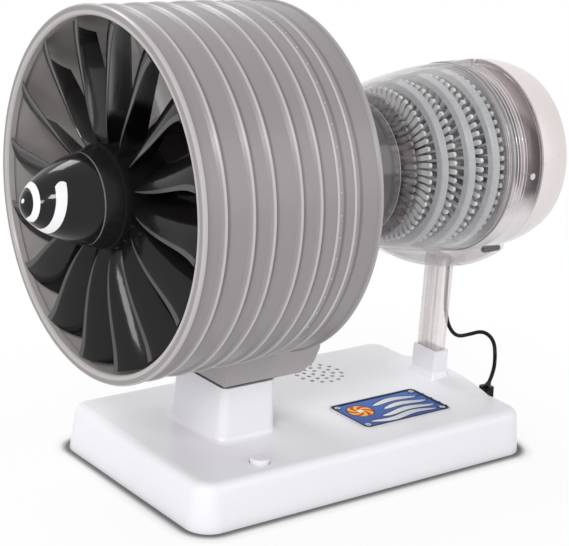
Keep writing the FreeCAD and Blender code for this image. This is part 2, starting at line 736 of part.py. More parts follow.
def lead_path():
    """Straight runs of the lead joined by tangent arcs."""
    points = [vec(*point) for point in LEAD_POINTS]
    edges = []
    here = points[0]
    for before, corner, after in zip(points, points[1:], points[2:]):
        start, middle, end, radius = tangent_arc(before, corner, after)
        edges.append(Part.LineSegment(here, start).toShape())
        edges.append(Part.Arc(start, middle, end).toShape())
        print("lead arc radius %.1f" % radius)
        here = end
    edges.append(Part.LineSegment(here, points[-1]).toShape())
    return Part.Wire(edges)


def lead_grommet():
    """Block in the belly fairing, over the post's channel, that the lead ends in."""
    x0 = POST_X - POST_DEPTH / 2
    half = POST_WIDTH / 2
    bottom = BELLY_BOTTOM + BELLY_WALL
    return box(x0, x0 + POST_DEPTH, -half, half, bottom, bottom + GROMMET_HEIGHT)


def power_lead():
    """Round lead from the belly fairing to the plug."""
    path = lead_path()
    first = vec(*LEAD_POINTS[0])
    heading = vec(*LEAD_POINTS[1]) - first
    section = Part.Wire(Part.makeCircle(LEAD_RADIUS, first, heading))
    tube = path.makePipeShell([section], True, False)
    print("lead %.1f long, volume over section %.1f" % (path.Length, tube.Volume / math.pi / LEAD_RADIUS ** 2))
    return tube


# ---- Post and saddle -------------------------------------------------------------------------
def rear_post():
    """Clear channel post, open towards the rear, with a middle rib."""
    x0 = POST_X - POST_DEPTH / 2
    half = POST_WIDTH / 2
    top = BELLY_BOTTOM + BELLY_WALL
    post = box(x0, x0 + POST_DEPTH, -half, half, SOCKET_FLOOR, top)
    hollow = box(x0 + POST_WALL, x0 + POST_DEPTH + 1, POST_WALL - half, half - POST_WALL,
                 SOCKET_FLOOR - 1, top + 1)
    rib = box(x0, x0 + POST_DEPTH / 2, -0.6, 0.6, SOCKET_FLOOR, top)
    return post.cut(hollow).fuse(rib)


def duct_envelope(margin):
    """Solid inside the duct's outer surface, grown by the margin."""
    profile = [(DUCT_FRONT - 1, 0)] + duct_outline(margin) + [(DUCT_REAR + margin, 0)]
    return turned_polygon(profile)


def duct_saddle():
    """Grey saddle: a foot in the pedestal, a cradle under the duct and a pylon behind it."""
    shoulder = PEDESTAL_TOP + SADDLE_LIFT
    half = PEDESTAL_WIDTH / 2 - SADDLE_INSET
    front = PEDESTAL_FRONT + SADDLE_INSET
    top = AXIS_HEIGHT - PYLON_DROP
    outline = [(front, shoulder), (SADDLE_REAR - SADDLE_BEVEL, shoulder),
               (SADDLE_REAR - SADDLE_BEVEL * 0.3, shoulder + SADDLE_BEVEL * 0.35),
               (SADDLE_REAR, shoulder + SADDLE_BEVEL), (SADDLE_REAR, top), (front, top)]
    points = [vec(x, -half, z) for x, z in outline]
    block = Part.Face(Part.makePolygon(points + [points[0]])).extrude(vec(0, 2 * half, 0))
    web = box(SADDLE_REAR - PYLON_LENGTH, SADDLE_REAR, -PYLON_WIDTH / 2, PYLON_WIDTH / 2,
              shoulder + SADDLE_BEVEL, AXIS_HEIGHT - COWL_NOSE_RADIUS)
    inset = PEDESTAL_WALL + SEAT_GAP
    foot = rounded_block(PEDESTAL_LENGTH - 2 * inset, PEDESTAL_WIDTH - 2 * inset,
                         PEDESTAL_CORNER - inset + 0.4, PEDESTAL_X, 0, SHELF_TOP, shoulder + 1)
    saddle = block.fuse([web, foot])
    pilots = [peg(x, y, SHELF_TOP - 1, SHELF_TOP + 8, SCREW_SHANK) for x, y in saddle_screw_places()]
    return saddle.cut([duct_envelope(SEAT_GAP), cowl_envelope(SEAT_GAP)] + pilots).removeSplitter()


def saddle_screws():
    """Screws that hold the saddle to the pedestal's shelf."""
    screws = []
    for x, y in saddle_screw_places():
        under = SHELF_TOP - SHELF_THICK
        head = peg(x, y, under - 1.8, under, SCREW_HEAD)
        shank = peg(x, y, under - 0.1, SHELF_TOP + 7, SCREW_SHANK - 0.02)
        screws.append(head.fuse(shank))
    return Part.makeCompound(screws)


# ---- Duct ------------------------------------------------------------------------------------
def duct_outline(margin=0.0):
    """Outer stations of the duct from its lip to its rear rim."""
    radius = DUCT_RADIUS + margin
    lip = LIP_RADIUS + margin
    points = [(DUCT_FRONT, lip - 1.4), (DUCT_FRONT + 0.5, lip - 0.4), (DUCT_FRONT + 1.4, lip),
              (DUCT_FRONT + 2.6, lip), (DUCT_FRONT + 4.0, radius)]
    for crest in RIB_CRESTS:
        points += [(crest - RIB_FLAT - RIB_AHEAD - margin, radius), (crest - RIB_FLAT, radius + RIB_RISE),
                   (crest + RIB_FLAT, radius + RIB_RISE), (crest + RIB_FLAT + RIB_BEHIND + margin, radius)]
    for start, end in BANDS:
        points += [(start - 0.3 - margin, radius), (start + 0.3, radius + BAND_RISE),
                   (end - 0.3, radius + BAND_RISE), (end + 0.3 + margin, radius)]
    rim = RIM_RADIUS + margin
    points += [(DUCT_REAR - RIM_LENGTH - 0.8, radius), (DUCT_REAR - RIM_LENGTH, rim),
               (DUCT_REAR - 0.4 + margin, rim), (DUCT_REAR + margin, rim - 0.4)]
    return points


def fan_duct():
    """Ribbed duct with a thick rounded lip and a low rim at the rear."""
    inner = [(DUCT_REAR, DUCT_BORE + 0.4), (DUCT_REAR - 0.6, DUCT_BORE),
             (DUCT_FRONT + LIP_LENGTH + 1.2, DUCT_BORE), (DUCT_FRONT + LIP_LENGTH, LIP_BORE),
             (DUCT_FRONT + 1.2, LIP_BORE), (DUCT_FRONT + 0.3, LIP_BORE + 0.6), (DUCT_FRONT, LIP_BORE + 1.4)]
    return turned_polygon(duct_outline() + inner)


def cowl_radius(x):
    """Outer radius of the core cowl at station x."""
    share = (x - COWL_FRONT) / (COWL_REAR - COWL_FRONT)
    return COWL_NOSE_RADIUS + share * (COWL_RADIUS - COWL_NOSE_RADIUS)


def cowl_envelope(margin):
    return turned_polygon([(COWL_FRONT, 0), (COWL_FRONT, COWL_NOSE_RADIUS + margin),
                           (COWL_REAR, COWL_RADIUS + margin), (COWL_REAR, 0)])


def guide_vane():
    """One cambered vane between the inner and the outer ring, standing above the axis."""
    inner = cowl_radius(VANE_FRONT) + 0.5
    outer = DUCT_BORE - SEAT_GAP - 0.5
    start = vec(VANE_FRONT + 1, -VANE_SWEEP / 2, 0)
    bend = vec(VANE_FRONT + VANE_LENGTH / 2, VANE_SWEEP * 0.3, 0)
    end = vec(VANE_FRONT + VANE_LENGTH - 1, VANE_SWEEP / 2, 0)
    near = Part.Arc(start, bend, end).toShape()
    shift = vec(0, VANE_THICK, 0)
    far = Part.Arc(start + shift, bend + shift, end + shift).toShape()
    sides = [Part.makeLine(start, start + shift), Part.makeLine(end, end + shift)]
    face = Part.Face(Part.Wire(Part.__sortEdges__([near, far] + sides)))
    face.translate(vec(0, -VANE_THICK / 2, AXIS_HEIGHT + inner))
    return face.extrude(vec(0, 0, outer - inner))


def guide_vanes():
    """Stator behind the fan: two rings joined by curved vanes."""
    inner = ring(VANE_FRONT, VANE_FRONT + VANE_LENGTH, cowl_radius(VANE_FRONT + VANE_LENGTH) + SEAT_GAP,
                 cowl_radius(VANE_FRONT) + VANE_RING)
    bore = DUCT_BORE - SEAT_GAP
    outer = ring(VANE_FRONT, VANE_FRONT + VANE_LENGTH, bore - VANE_RING, bore)
    vanes = [round_axis(guide_vane(), 360 * number / VANE_COUNT) for number in range(VANE_COUNT)]
    return inner.fuse(vanes + [outer])


# ---- Fan -------------------------------------------------------------------------------------
BLADE_SHARES = (0.0, 0.25, 0.5, 0.78, 0.92, 1.0)          # places of the sections from hub to tip
BLADE_LEAD_SET = (6.3, 1.4, 0.3, 0.1, 0.0, 0.0)           # set-back of the leading edge
BLADE_LEAD_ANGLE = (6.7, 9.2, 9.7, 9.1, 9.8, 11.2)        # angle ahead of the blade's middle
BLADE_TRAIL_ANGLE = (15.6, 12.1, 10.3, 8.9, 8.5, 8.3)     # angle behind it
BLADE_BEND_X = (0.30, 0.20, 0.13, 0.09, 0.08, 0.07)       # where a section's bend lies, along the blade
BLADE_BEND_Y = (0.55, 0.58, 0.61, 0.64, 0.65, 0.66)       # and across it
BLADE_THICK = (3.0, 2.4, 1.9, 1.5, 1.3, 1.2)
BLADE_EDGE = 0.5
BLADE_ROOT_DEPTH = 1.2      # how far a blade's root runs into the hub


def camber_point(share, front, rear, bend):
    """Point and sideways direction on a section's middle line."""
    a = (1 - share) ** 2
    b = 2 * share * (1 - share)
    c = share ** 2
    point = front * a + bend * b + rear * c
    heading = (bend - front) * (1 - share) + (rear - bend) * share
    heading.normalize()
    return point, vec(-heading.y, heading.x, 0)


def blade_section(number):
    """Closed outline of one of the blade's sections, counted from the hub."""
    foot = HUB_RADIUS - 2 * BLADE_ROOT_DEPTH
    height = foot + BLADE_SHARES[number] * (BLADE_TIP + 1 - foot)
    lead = -height * math.sin(math.radians(BLADE_LEAD_ANGLE[number]))
    trail = height * math.sin(math.radians(BLADE_TRAIL_ANGLE[number]))
    front = vec(BLADE_FRONT + BLADE_LEAD_SET[number], lead, 0)
    rear = vec(BLADE_REAR, trail, 0)
    run = rear - front
    bend = front + vec(run.x * BLADE_BEND_X[number], run.y * BLADE_BEND_Y[number], 0)
    places = (0.0, 0.12, 0.35, 0.65, 1.0)
    thick = BLADE_THICK[number]
    sides = ([], [])
    for place in places:
        point, sideways = camber_point(place, front, rear, bend)
        half = (BLADE_EDGE + (thick - BLADE_EDGE) * 4 * place * (1 - place)) / 2
        for side, points in zip((1, -1), sides):
            points.append(point + sideways * half * side + vec(0, 0, AXIS_HEIGHT + height))
    edges = []
    for points in sides:
        spline = Part.BSplineCurve()
        spline.interpolate(points)
        edges.append(spline.toShape())
    edges.append(Part.makeLine(sides[0][0], sides[1][0]))
    edges.append(Part.makeLine(sides[0][-1], sides[1][-1]))
    return Part.Wire(Part.__sortEdges__(edges))


def fan_blade():
    """One twisted blade, standing above the axis, cut round at its tip and its root."""
    wires = [blade_section(number) for number in range(len(BLADE_SHARES))]
    blade = Part.makeLoft(wires, True, False)
    sleeve = ring(BLADE_FRONT - 5, BLADE_REAR + 5, HUB_RADIUS - BLADE_ROOT_DEPTH, BLADE_TIP)
    return blade.common(sleeve)


def blade_turn(number):
    """Turn that brings the blade above the axis to its own place."""
    return 90 - (BLADE_PHASE + BLADE_LEAD_ANGLE[-1]) - 360 * number / BLADE_COUNT


def fan_hub():
    """Hub with its neck and spigot for the spinner, hollow behind."""
    front = BLADE_FRONT + 1
    step = SPINNER_BASE
    wall = HUB_RADIUS - HUB_WALL
    rear = BLADE_REAR + 2
    spigot = NECK_RADIUS - SPINNER_WALL - SEAT_GAP
    profile = [(step - SPIGOT_LENGTH, SHAFT_RADIUS), (step - SPIGOT_LENGTH, spigot), (step, spigot),
               (step, NECK_RADIUS), (front, HUB_RADIUS - NECK_STEP), (front + 0.5, HUB_RADIUS - NECK_STEP / 3),
               (front + 3, HUB_RADIUS), (rear, HUB_RADIUS), (rear, wall), (front + 6, wall),
               (front + 3, HUB_BOSS), (rear, HUB_BOSS), (rear, SHAFT_RADIUS)]
    return turned_polygon(profile)


def fan_rotor():
    """Hub and all its blades, moulded as one."""
    blade = fan_blade()
    blades = [round_axis(blade, blade_turn(number)) for number in range(BLADE_COUNT)]
    return fan_hub().fuse(blades)


def spinner():
    """Hollow pointed nose that snaps onto the hub's spigot."""
    length = SPINNER_BASE - SPINNER_TIP
    places = (0.0, 0.02, 0.06, 0.2, 0.42, 0.7, 1.0)

    def radius(share, full):
        return full * (1 - (1 - share) ** NOSE_FLARE) ** NOSE_POINT

    outer = [(SPINNER_TIP + share * length, radius(share, NECK_RADIUS)) for share in places]
    inner_tip = SPINNER_TIP + 2 * SPINNER_WALL
    bore_end = SPINNER_BASE - SPIGOT_LENGTH - SEAT_GAP
    inner_full = NECK_RADIUS - SPINNER_WALL
    inner = [(inner_tip + share * (bore_end - inner_tip), radius(share, inner_full - 0.4)) for share in places]
    edges = [curve(outer), curve(inner)]
    edges += lines([(SPINNER_BASE, NECK_RADIUS), (SPINNER_BASE, inner_full), (bore_end, inner_full), inner[-1]])
    edges += lines([(SPINNER_TIP, 0), (inner_tip, 0)])
    return turned(edges)


# ---- Rotor -----------------------------------------------------------------------------------
def rotor_shaft():
    """Steel shaft through the whole engine."""
    return rod(SHAFT_FRONT, SHAFT_REAR, SHAFT_RADIUS)


def wall_inside(x):
    """Inner radius of the clear casing at station x."""
    return casing_radius(x) - CASING_WALL


def bladed_disc(x0, x1, tips, rim, boss_end, count):
    """Disc with a thin web, a rim and straight blades; tips holds their front, middle and rear radii."""
    web = (x0 + x1) / 2
    bore = SHAFT_RADIUS
    inside = rim - DISC_RIM_THICK
    front, crown, rear = (station(x, radius) for x, radius in zip((x0, web, x1), tips))
    edges = lines([(x1, tips[2]), (x1, inside), (web + DISC_WEB / 2, inside), (web + DISC_WEB / 2, DISC_BOSS),
                   (boss_end, DISC_BOSS), (boss_end, bore), (x0, bore), (x0, DISC_BOSS),
                   (web - DISC_WEB / 2, DISC_BOSS), (web - DISC_WEB / 2, inside), (x0, inside), (x0, tips[0])])
    edges.append(Part.Arc(front, crown, rear).toShape())
    outline = toothed_rod(x0 - 1, boss_end + 1, count, rim, max(tips), DISC_BLADE_ROOT, DISC_BLADE_TIP)
    return turned(edges).common(outline)


def compressor_disc(number):
    """Rotor row of the compressor; its boss reaches the next row's."""
    x0, x1 = DISC_SPANS[number]
    last = number == len(DISC_SPANS) - 1
    boss_end = CASING_REAR - END_PLAY if last else DISC_SPANS[number + 1][0]
    crown = wall_inside((x0 + x1) / 2) - TIP_GAP
    tips = (wall_inside(x0) - TIP_GAP - BLADE_CROWN, crown, wall_inside(x1) - TIP_GAP - BLADE_CROWN)
    return bladed_disc(x0, x1, tips, DISC_RIM * crown, boss_end, DISC_BLADE_COUNT)


def turbine_disc():
    """Turbine row inside the nozzle."""
    crown = NOZZLE_BORE - TIP_GAP
    tips = (crown - BLADE_CROWN, crown, crown - BLADE_CROWN)
    x1 = TURBINE_FRONT + TURBINE_LENGTH
    return bladed_disc(TURBINE_FRONT, x1, tips, DISC_RIM * crown, x1, TURBINE_BLADE_COUNT)


def tail_cone():
    """Rounded cone behind the turbine."""
    x0 = TURBINE_FRONT + TURBINE_LENGTH
    places = (0.0, 0.3, 0.6, 0.85, 1.0)
    outer = [(x0 + share * CONE_LENGTH, CONE_RADIUS * math.sqrt(1 - share ** 1.6)) for share in places]
    end = (x0 + CONE_LENGTH, 0)
    return turned([curve(outer)] + lines([end, (x0, 0), (x0, CONE_RADIUS)]))


def involute_flank(teeth, tip, steps=4):
    """Radii and half-thickness angles of an involute flank from its base circle to its tip."""
    pitch = GEAR_MODULE * teeth / 2
    pressure = math.radians(20)
    base = pitch * math.cos(pressure)
    half = (math.pi * GEAR_MODULE / 2 - GEAR_BACKLASH) / 2 / pitch
    flank = []
    for step in range(steps):
        radius = base + (tip - base) * step / (steps - 1)
        angle = math.acos(min(1.0, base / radius))
        spread = half + (math.tan(pressure) - pressure) - (math.tan(angle) - angle)
        flank.append((radius, spread))
    return flank


def gear(teeth, addendum, width, x0, drop, first_tooth):
    """Spur gear along X; first_tooth is the angle of one tooth above the +Y side."""
    pitch = GEAR_MODULE * teeth / 2
    flank = involute_flank(teeth, pitch + addendum * GEAR_MODULE)
    root = min(pitch - 1.15 * GEAR_MODULE, flank[0][0] - 0.05)
    middle = on_axis(x0) - vec(0, 0, drop)
    points = []
    for number in range(teeth):
        centre = math.radians(first_tooth + 360 * number / teeth)
        outline = [(root, -flank[0][1])] + [(r, -a) for r, a in flank]
        outline += [(r, a) for r, a in reversed(flank)] + [(root, flank[0][1])]
        for radius, angle in outline:
            spot = vec(0, radius * math.cos(centre + angle), radius * math.sin(centre + angle))
            points.append(middle + spot)
    face = Part.Face(Part.makePolygon(points + [points[0]]))
    return face.extrude(vec(width, 0, 0))


def drive_gear():
    """Large gear on the rotor shaft, with one tooth straight down."""
    wheel = gear(GEAR_TOOTH_COUNT, GEAR_ADDENDUM, GEAR_WIDTH, GEAR_FRONT, 0, -90)
    return wheel.cut(rod(GEAR_FRONT - 1, GEAR_FRONT + GEAR_WIDTH + 1, SHAFT_RADIUS))


def motor_pinion():
    """Pinion and motor shaft, with a gap between two teeth straight up."""
    first = 90 + 180 / PINION_TOOTH_COUNT
    pinion = gear(PINION_TOOTH_COUNT, PINION_ADDENDUM, GEAR_WIDTH + 1, GEAR_FRONT - 0.5, MOTOR_DROP, first)
    return pinion.fuse(rod(GEAR_FRONT, PLATE_FRONT + WEB_THICK + 12, MOTOR_SHAFT, MOTOR_DROP))


# ---- Core housing ----------------------------------------------------------------------------
def bearing_seat():
    return BEARING_RADIUS + SEAT_GAP / 3


def core_cowl():
    """Grey tube of the core, with a rounded nose and the web that carries the front bearing."""
    inner = COWL_NOSE_RADIUS - COWL_WALL
    web_rear = COWL_WEB + WEB_THICK
    boss = BEARING_RADIUS + 2.5
    profile = [(COWL_FRONT, inner + 0.6), (COWL_FRONT, COWL_NOSE_RADIUS - 0.8),
               (COWL_FRONT + 1.2, cowl_radius(COWL_FRONT + 1.2)), (COWL_REAR, COWL_RADIUS),
               (COWL_REAR, COWL_RADIUS - COWL_WALL), (web_rear, inner), (web_rear, boss),
               (BEARING_FRONT + BEARING_LENGTH, boss), (BEARING_FRONT + BEARING_LENGTH, bearing_seat()),
               (BEARING_FRONT, bearing_seat()), (BEARING_FRONT, boss), (COWL_WEB, boss), (COWL_WEB, inner)]
    return turned_polygon(profile)


def bearing(x0):
    return ring(x0, x0 + BEARING_LENGTH, SHAFT_BORE, BEARING_RADIUS)


def front_bearing():
    return bearing(BEARING_FRONT)


def rear_bearing():
    return bearing(CASING_REAR)


def gear_plate():
    """Plate that holds the motor behind the gears."""
    radius = cowl_radius(PLATE_FRONT) - COWL_WALL - SEAT_GAP - 0.4
    plate = rod(PLATE_FRONT, PLATE_FRONT + WEB_THICK, radius)
    holes = [rod(PLATE_FRONT - 1, PLATE_FRONT + 4, SHAFT_RADIUS + 1.0),
             rod(PLATE_FRONT - 1, PLATE_FRONT + 4, MOTOR_SHAFT + 2.0, MOTOR_DROP)]
    return plate.cut(holes)


def motor_can():
    """Small motor with two flats, its nose on the gear plate."""
    x0 = PLATE_FRONT + WEB_THICK
    can = rod(x0, x0 + MOTOR_LENGTH, MOTOR_RADIUS, MOTOR_DROP)
    slab = box(x0 - 1, x0 + MOTOR_LENGTH + 1, -MOTOR_RADIUS, MOTOR_RADIUS,
               AXIS_HEIGHT - MOTOR_DROP - MOTOR_FLAT, AXIS_HEIGHT - MOTOR_DROP + MOTOR_FLAT)
    bore = rod(x0 - 1, x0 + 14, MOTOR_SHAFT + RUNNING_GAP, MOTOR_DROP)
    return can.common(slab).cut(bore)


def casing_front():
    """Station where the casing's inner wall meets the cowl."""
    return casing_station(COWL_RADIUS + SEAT_GAP + CASING_WALL)


def casing_half(side):
    """Clear half shell on the -Y side (-1) or the +Y side (1)."""
    x0 = casing_front()
    x1 = CASING_REAR
    shell = turned([casing_curve(x0, x1), casing_curve(x0, x1, CASING_WALL)]
                   + lines([(x0, casing_radius(x0)), (x0, casing_radius(x0) - CASING_WALL)])
                   + lines([(x1, casing_radius(x1)), (x1, casing_radius(x1) - CASING_WALL)]))
    reach = 2 * CASING_RADIUS
    low, high = sorted((0, side * reach))
    return shell.common(box(x0 - 1, x1 + 1, low, high, AXIS_HEIGHT - reach, AXIS_HEIGHT + reach))


def stator_ring(number):
    """Pale ring seated inside the casing between two rotor rows, with small vanes that point inwards."""
    x0, x1 = STATOR_SPANS[number]
    outer0 = wall_inside(x0) - SEAT_GAP
    outer1 = wall_inside(x1) - SEAT_GAP
    inner = outer0 - STATOR_DEPTH
    band = turned_polygon([(x0, inner), (x0, outer0 - 0.6), (x0 + 0.6, outer0), (x1 - 0.6, outer1 - 0.1),
                           (x1, outer1 - 0.7), (x1, inner)])
    low = inner - STATOR_VANE_REACH
    start = x0 + STATOR_VANE_INSET
    end = x1 - STATOR_VANE_INSET
    vane = box(start, end, -STATOR_VANE / 2, STATOR_VANE / 2, AXIS_HEIGHT + low, AXIS_HEIGHT + inner + 0.5)
    pitch = 360 / STATOR_VANE_COUNT
    return band.fuse([round_axis(vane, pitch * place) for place in range(STATOR_VANE_COUNT)])


def rear_bulkhead():
    """Wall behind the last compressor row, with the rear bearing's boss."""
    x0 = CASING_REAR
    rim = casing_radius(x0) + CASE_FLANGE
    boss = BEARING_RADIUS + 2.5
    profile = [(x0, bearing_seat()), (x0, rim - 0.3), (x0 + 0.3, rim), (x0 + BULKHEAD_THICK, rim),
               (x0 + BULKHEAD_THICK, boss), (x0 + BEARING_LENGTH, boss), (x0 + BEARING_LENGTH, bearing_seat())]
    return turned_polygon(profile)


def combustor_case():
    """Clear rear case between the bulkhead and the nozzle."""
    x0 = CASING_REAR + BULKHEAD_THICK
    flange = casing_radius(x0) + CASE_FLANGE
    front = casing_radius(x0)
    profile = [(x0, front - CASE_WALL), (x0, flange), (x0 + 1.4, flange), (x0 + 1.8, front)]
    for bead in CASE_BEADS:
        wall = front + (CASE_RADIUS - front) * (bead - x0) / (CASE_REAR - x0)
        profile += [(bead - BEAD_HALF, wall), (bead - BEAD_HALF / 4, wall + BEAD_RISE),
                    (bead + BEAD_HALF / 4, wall + BEAD_RISE), (bead + BEAD_HALF, wall)]
    profile += [(CASE_REAR, CASE_RADIUS), (CASE_REAR, CASE_RADIUS - CASE_WALL)]
    case = turned_polygon(profile)
    return case.cut([round_axis(screw_hole(), angle) for angle in screw_angles()])


def screw_angles():
    """Turns that bring a hole on top of the case to each screw's place."""
    return [90 * number for number in range(4)]


def screw_hole():
    return Part.makeCylinder(SCREW_SHANK + 0.1, 6, vec(CASE_SCREW_X, 0, AXIS_HEIGHT + CASE_RADIUS - 4),
                             ALONG_Z)


def case_screws():
    """Screws round the rear case that hold the liner."""
    screws = []
    top = AXIS_HEIGHT + CASE_RADIUS
    for angle in screw_angles():
        head = Part.makeCylinder(SCREW_HEAD - 0.6, 1.2, vec(CASE_SCREW_X, 0, top + 0.02), ALONG_Z)
        reach = CASE_RADIUS - LINER_RADIUS
        shank = Part.makeCylinder(SCREW_SHANK - 0.05, reach, vec(CASE_SCREW_X, 0, top + 0.1 - reach), ALONG_Z)
        screws.append(round_axis(head.fuse(shank), angle))
    return Part.makeCompound(screws)


def combustor_liner():
    """Smooth drum inside the rear case and the nozzle's front, closed in front round the lamps."""
    rear = CASE_REAR + LINER_LAP
    inside = LINER_RADIUS - LINER_WALL
    return turned_polygon([(LINER_FRONT, LINER_RADIUS - 0.6), (LINER_FRONT + 0.6, LINER_RADIUS),
                           (rear, LINER_RADIUS), (rear, inside), (LINER_FRONT + LINER_WALL, inside),
                           (LINER_FRONT + LINER_WALL, LINER_LEDGE), (LINER_FRONT, LINER_LEDGE)])


def lamp_board():
    """Round board that carries the lamps, seated in the liner's front."""
    x0 = LINER_FRONT
    return ring(x0, x0 + 1.6, BEARING_RADIUS + 2.5 + SEAT_GAP, LINER_LEDGE - SEAT_GAP)


def combustor_lamps():
    """Lamps on the board, pointing to the rear."""
    lamps = []
    for number in range(LAMP_COUNT):
        x0 = LINER_FRONT + 1.6
        body = Part.makeCylinder(LAMP_RADIUS, LAMP_LENGTH - LAMP_RADIUS,
                                 vec(x0, 0, AXIS_HEIGHT + LAMP_CIRCLE), ALONG_X)
        dome = Part.makeSphere(LAMP_RADIUS, vec(x0 + LAMP_LENGTH - LAMP_RADIUS, 0, AXIS_HEIGHT + LAMP_CIRCLE))
        lamps.append(round_axis(body.fuse(dome), 360 * number / LAMP_COUNT))
    return Part.makeCompound(lamps)


def exhaust_nozzle():
    """Pearl cap that narrows to the open exhaust."""
    x0 = CASE_REAR
    x1 = NOZZLE_REAR
    run = x1 - x0
    bow = 0.5 * (CASE_RADIUS - NOZZLE_END_RADIUS) + 1.1
    outer = [(x0, CASE_RADIUS), (x0 + run / 2, NOZZLE_END_RADIUS + bow), (x1 - 2.5, NOZZLE_END_RADIUS)]
    edges = [curve(outer)]
    edges += lines([outer[-1], (x1, NOZZLE_END_RADIUS - 2.5), (x1, NOZZLE_BORE), (x1 - 2, NOZZLE_BORE),
                    (x1 - 2, NOZZLE_BORE + 1.6), (x0 + 4, CASE_RADIUS - NOZZLE_WALL - 1.8),
                    (x0, CASE_RADIUS - NOZZLE_WALL), outer[0]])
    return turned(edges)


def keel_block(inset):
    """Rounded block of the fairing's side outline, drawn in by the inset."""
    half = BELLY_WIDTH / 2 - inset
    top = AXIS_HEIGHT - COWL_RADIUS
    low = [vec(x, -half, AXIS_HEIGHT - drop + inset) for x, drop in BELLY_LINE]
    low[0] = low[0] + vec(inset, 0, 0)
    low[-1] = low[-1] - vec(inset, 0, 0)
    spline = Part.BSplineCurve()
    spline.interpolate(low)
    front = vec(low[0].x, -half, top)
    rear = vec(low[-1].x, -half, top)
    sides = [Part.makeLine(low[0], front), Part.makeLine(front, rear), Part.makeLine(rear, low[-1])]
    face = Part.Face(Part.Wire(Part.__sortEdges__([spline.toShape()] + sides)))
    block = face.extrude(vec(0, 2 * half, 0))
    edges = [edge for edge in block.Edges if edge.Curve.TypeId == "Part::GeomBSplineCurve"]
    return block.makeFillet(BELLY_ROUND - inset, edges)


def clip_block(margin, y0, y1):
    """Bar with round ends in the place of the clips, from side to side of the keel."""
    radius = CLIP_HEIGHT / 2 + margin
    z = AXIS_HEIGHT - CLIP_DROP
    across = vec(0, 1, 0)
    ends = [Part.makeCylinder(radius, y1 - y0, vec(x, y0, z), across)
            for x in (CLIP_FRONT + CLIP_HEIGHT / 2, CLIP_REAR - CLIP_HEIGHT / 2)]
    middle = box(CLIP_FRONT + CLIP_HEIGHT / 2, CLIP_REAR - CLIP_HEIGHT / 2, y0, y1, z - radius, z + radius)
    return middle.fuse(ends)


def case_clips():
    """Dark clips let into both sides of the fairing, which hold the two halves of the casing."""
    half = BELLY_WIDTH / 2
    clips = []
    for side in (-1, 1):
        y0, y1 = sorted((side * (half - BELLY_WALL), side * (half + 0.3)))
        clips.append(clip_block(0, y0, y1))
    return Part.makeCompound(clips)


def belly_fairing():
    """Clear rounded keel under the casing, hollow, with the rear post in its floor."""
    outer = keel_block(0)
    floor = box(POST_X - 8, POST_X + 8, -BELLY_WIDTH / 2, BELLY_WIDTH / 2, BELLY_BOTTOM - 9, BELLY_BOTTOM)
    level = box(POST_X - 8, POST_X + 8, BELLY_ROUND - BELLY_WIDTH / 2, BELLY_WIDTH / 2 - BELLY_ROUND,
                BELLY_BOTTOM - 1, BELLY_BOTTOM + BELLY_WALL)
    fairing = outer.cut(keel_block(BELLY_WALL)).fuse(level.common(outer)).cut(floor)
    slots = clip_block(SEAT_GAP, -BELLY_WIDTH, BELLY_WIDTH)
    return fairing.cut([engine_envelope(SEAT_GAP), belly_hole(), slots])


def belly_hole():
    """Hole in the keel's floor for the post."""
    depth = POST_DEPTH + 2 * SEAT_GAP
    width = POST_WIDTH + 2 * SEAT_GAP
    return box(POST_X - depth / 2, POST_X + depth / 2, -width / 2, width / 2,
               BELLY_BOTTOM - 1, BELLY_BOTTOM + BELLY_WALL + 1)


def engine_envelope(margin):
    """Solid inside the casing, the rear case and the nozzle, grown by the margin."""
    x0 = casing_front()
    flange = casing_radius(CASING_REAR) + CASE_FLANGE + margin
    edges = [casing_curve(x0, CASING_REAR - margin, -margin)]
    start = (x0, casing_radius(x0) + margin)
    end = (CASING_REAR - margin, casing_radius(CASING_REAR - margin) + margin)
    rear = CASING_REAR + BULKHEAD_THICK + 1.8 + margin
    edges += lines([end, (end[0], flange), (rear, flange), (rear, CASE_RADIUS + 0.4 + margin),
                    (NOZZLE_REAR, CASE_RADIUS + margin), (NOZZLE_REAR, 0), (x0, 0), start])
    return turned(edges)


# ---- Writing ---------------------------------------------------------------------------------
def all_nodes():
    """Every sub-part by its node's name."""
    nodes = {
        "base_shell": base_shell(),
        "base_floor": base_floor(),
        "battery_door": battery_door(),
        "battery_cells": battery_cells(),
        "battery_contacts": battery_contacts(),
        "circuit_board": circuit_board(),
        "tact_switch": tact_switch(),
        "switch_plunger": switch_plunger(),
        "push_button": push_button(),
        "speaker": speaker(),
        "badge_plate": badge_plate(),
        "power_socket": power_socket(),
        "lead_plug": lead_plug(),
        "power_lead": power_lead(),
        "lead_grommet": lead_grommet(),
        "base_screws": base_screws(),
        "rear_post": rear_post(),
        "duct_saddle": duct_saddle(),
        "saddle_screws": saddle_screws(),
        "fan_duct": fan_duct(),
        "guide_vanes": guide_vanes(),
        "core_cowl": core_cowl(),
        "front_bearing": front_bearing(),
        "rear_bearing": rear_bearing(),
        "spinner": spinner(),
        "fan_rotor": fan_rotor(),
        "rotor_shaft": rotor_shaft(),
        "turbine_disc": turbine_disc(),
        "tail_cone": tail_cone(),
        "drive_gear": drive_gear(),
        "motor_pinion": motor_pinion(),
        "gear_plate": gear_plate(),
        "motor_can": motor_can(),
        "casing_left": casing_half(-1),
        "casing_right": casing_half(1),
        "rear_bulkhead": rear_bulkhead(),
        "combustor_case": combustor_case(),
        "combustor_liner": combustor_liner(),
        "lamp_board": lamp_board(),
        "combustor_lamps": combustor_lamps(),
        "case_screws": case_screws(),
        "exhaust_nozzle": exhaust_nozzle(),
        "belly_fairing": belly_fairing(),
        "case_clips": case_clips(),
    }
    for number in range(len(DISC_SPANS)):
        nodes["compressor_disc_%d" % (number + 1)] = compressor_disc(number)
    for number in range(len(STATOR_SPANS)):
        nodes["stator_ring_%d" % (number + 1)] = stator_ring(number)
    return nodes


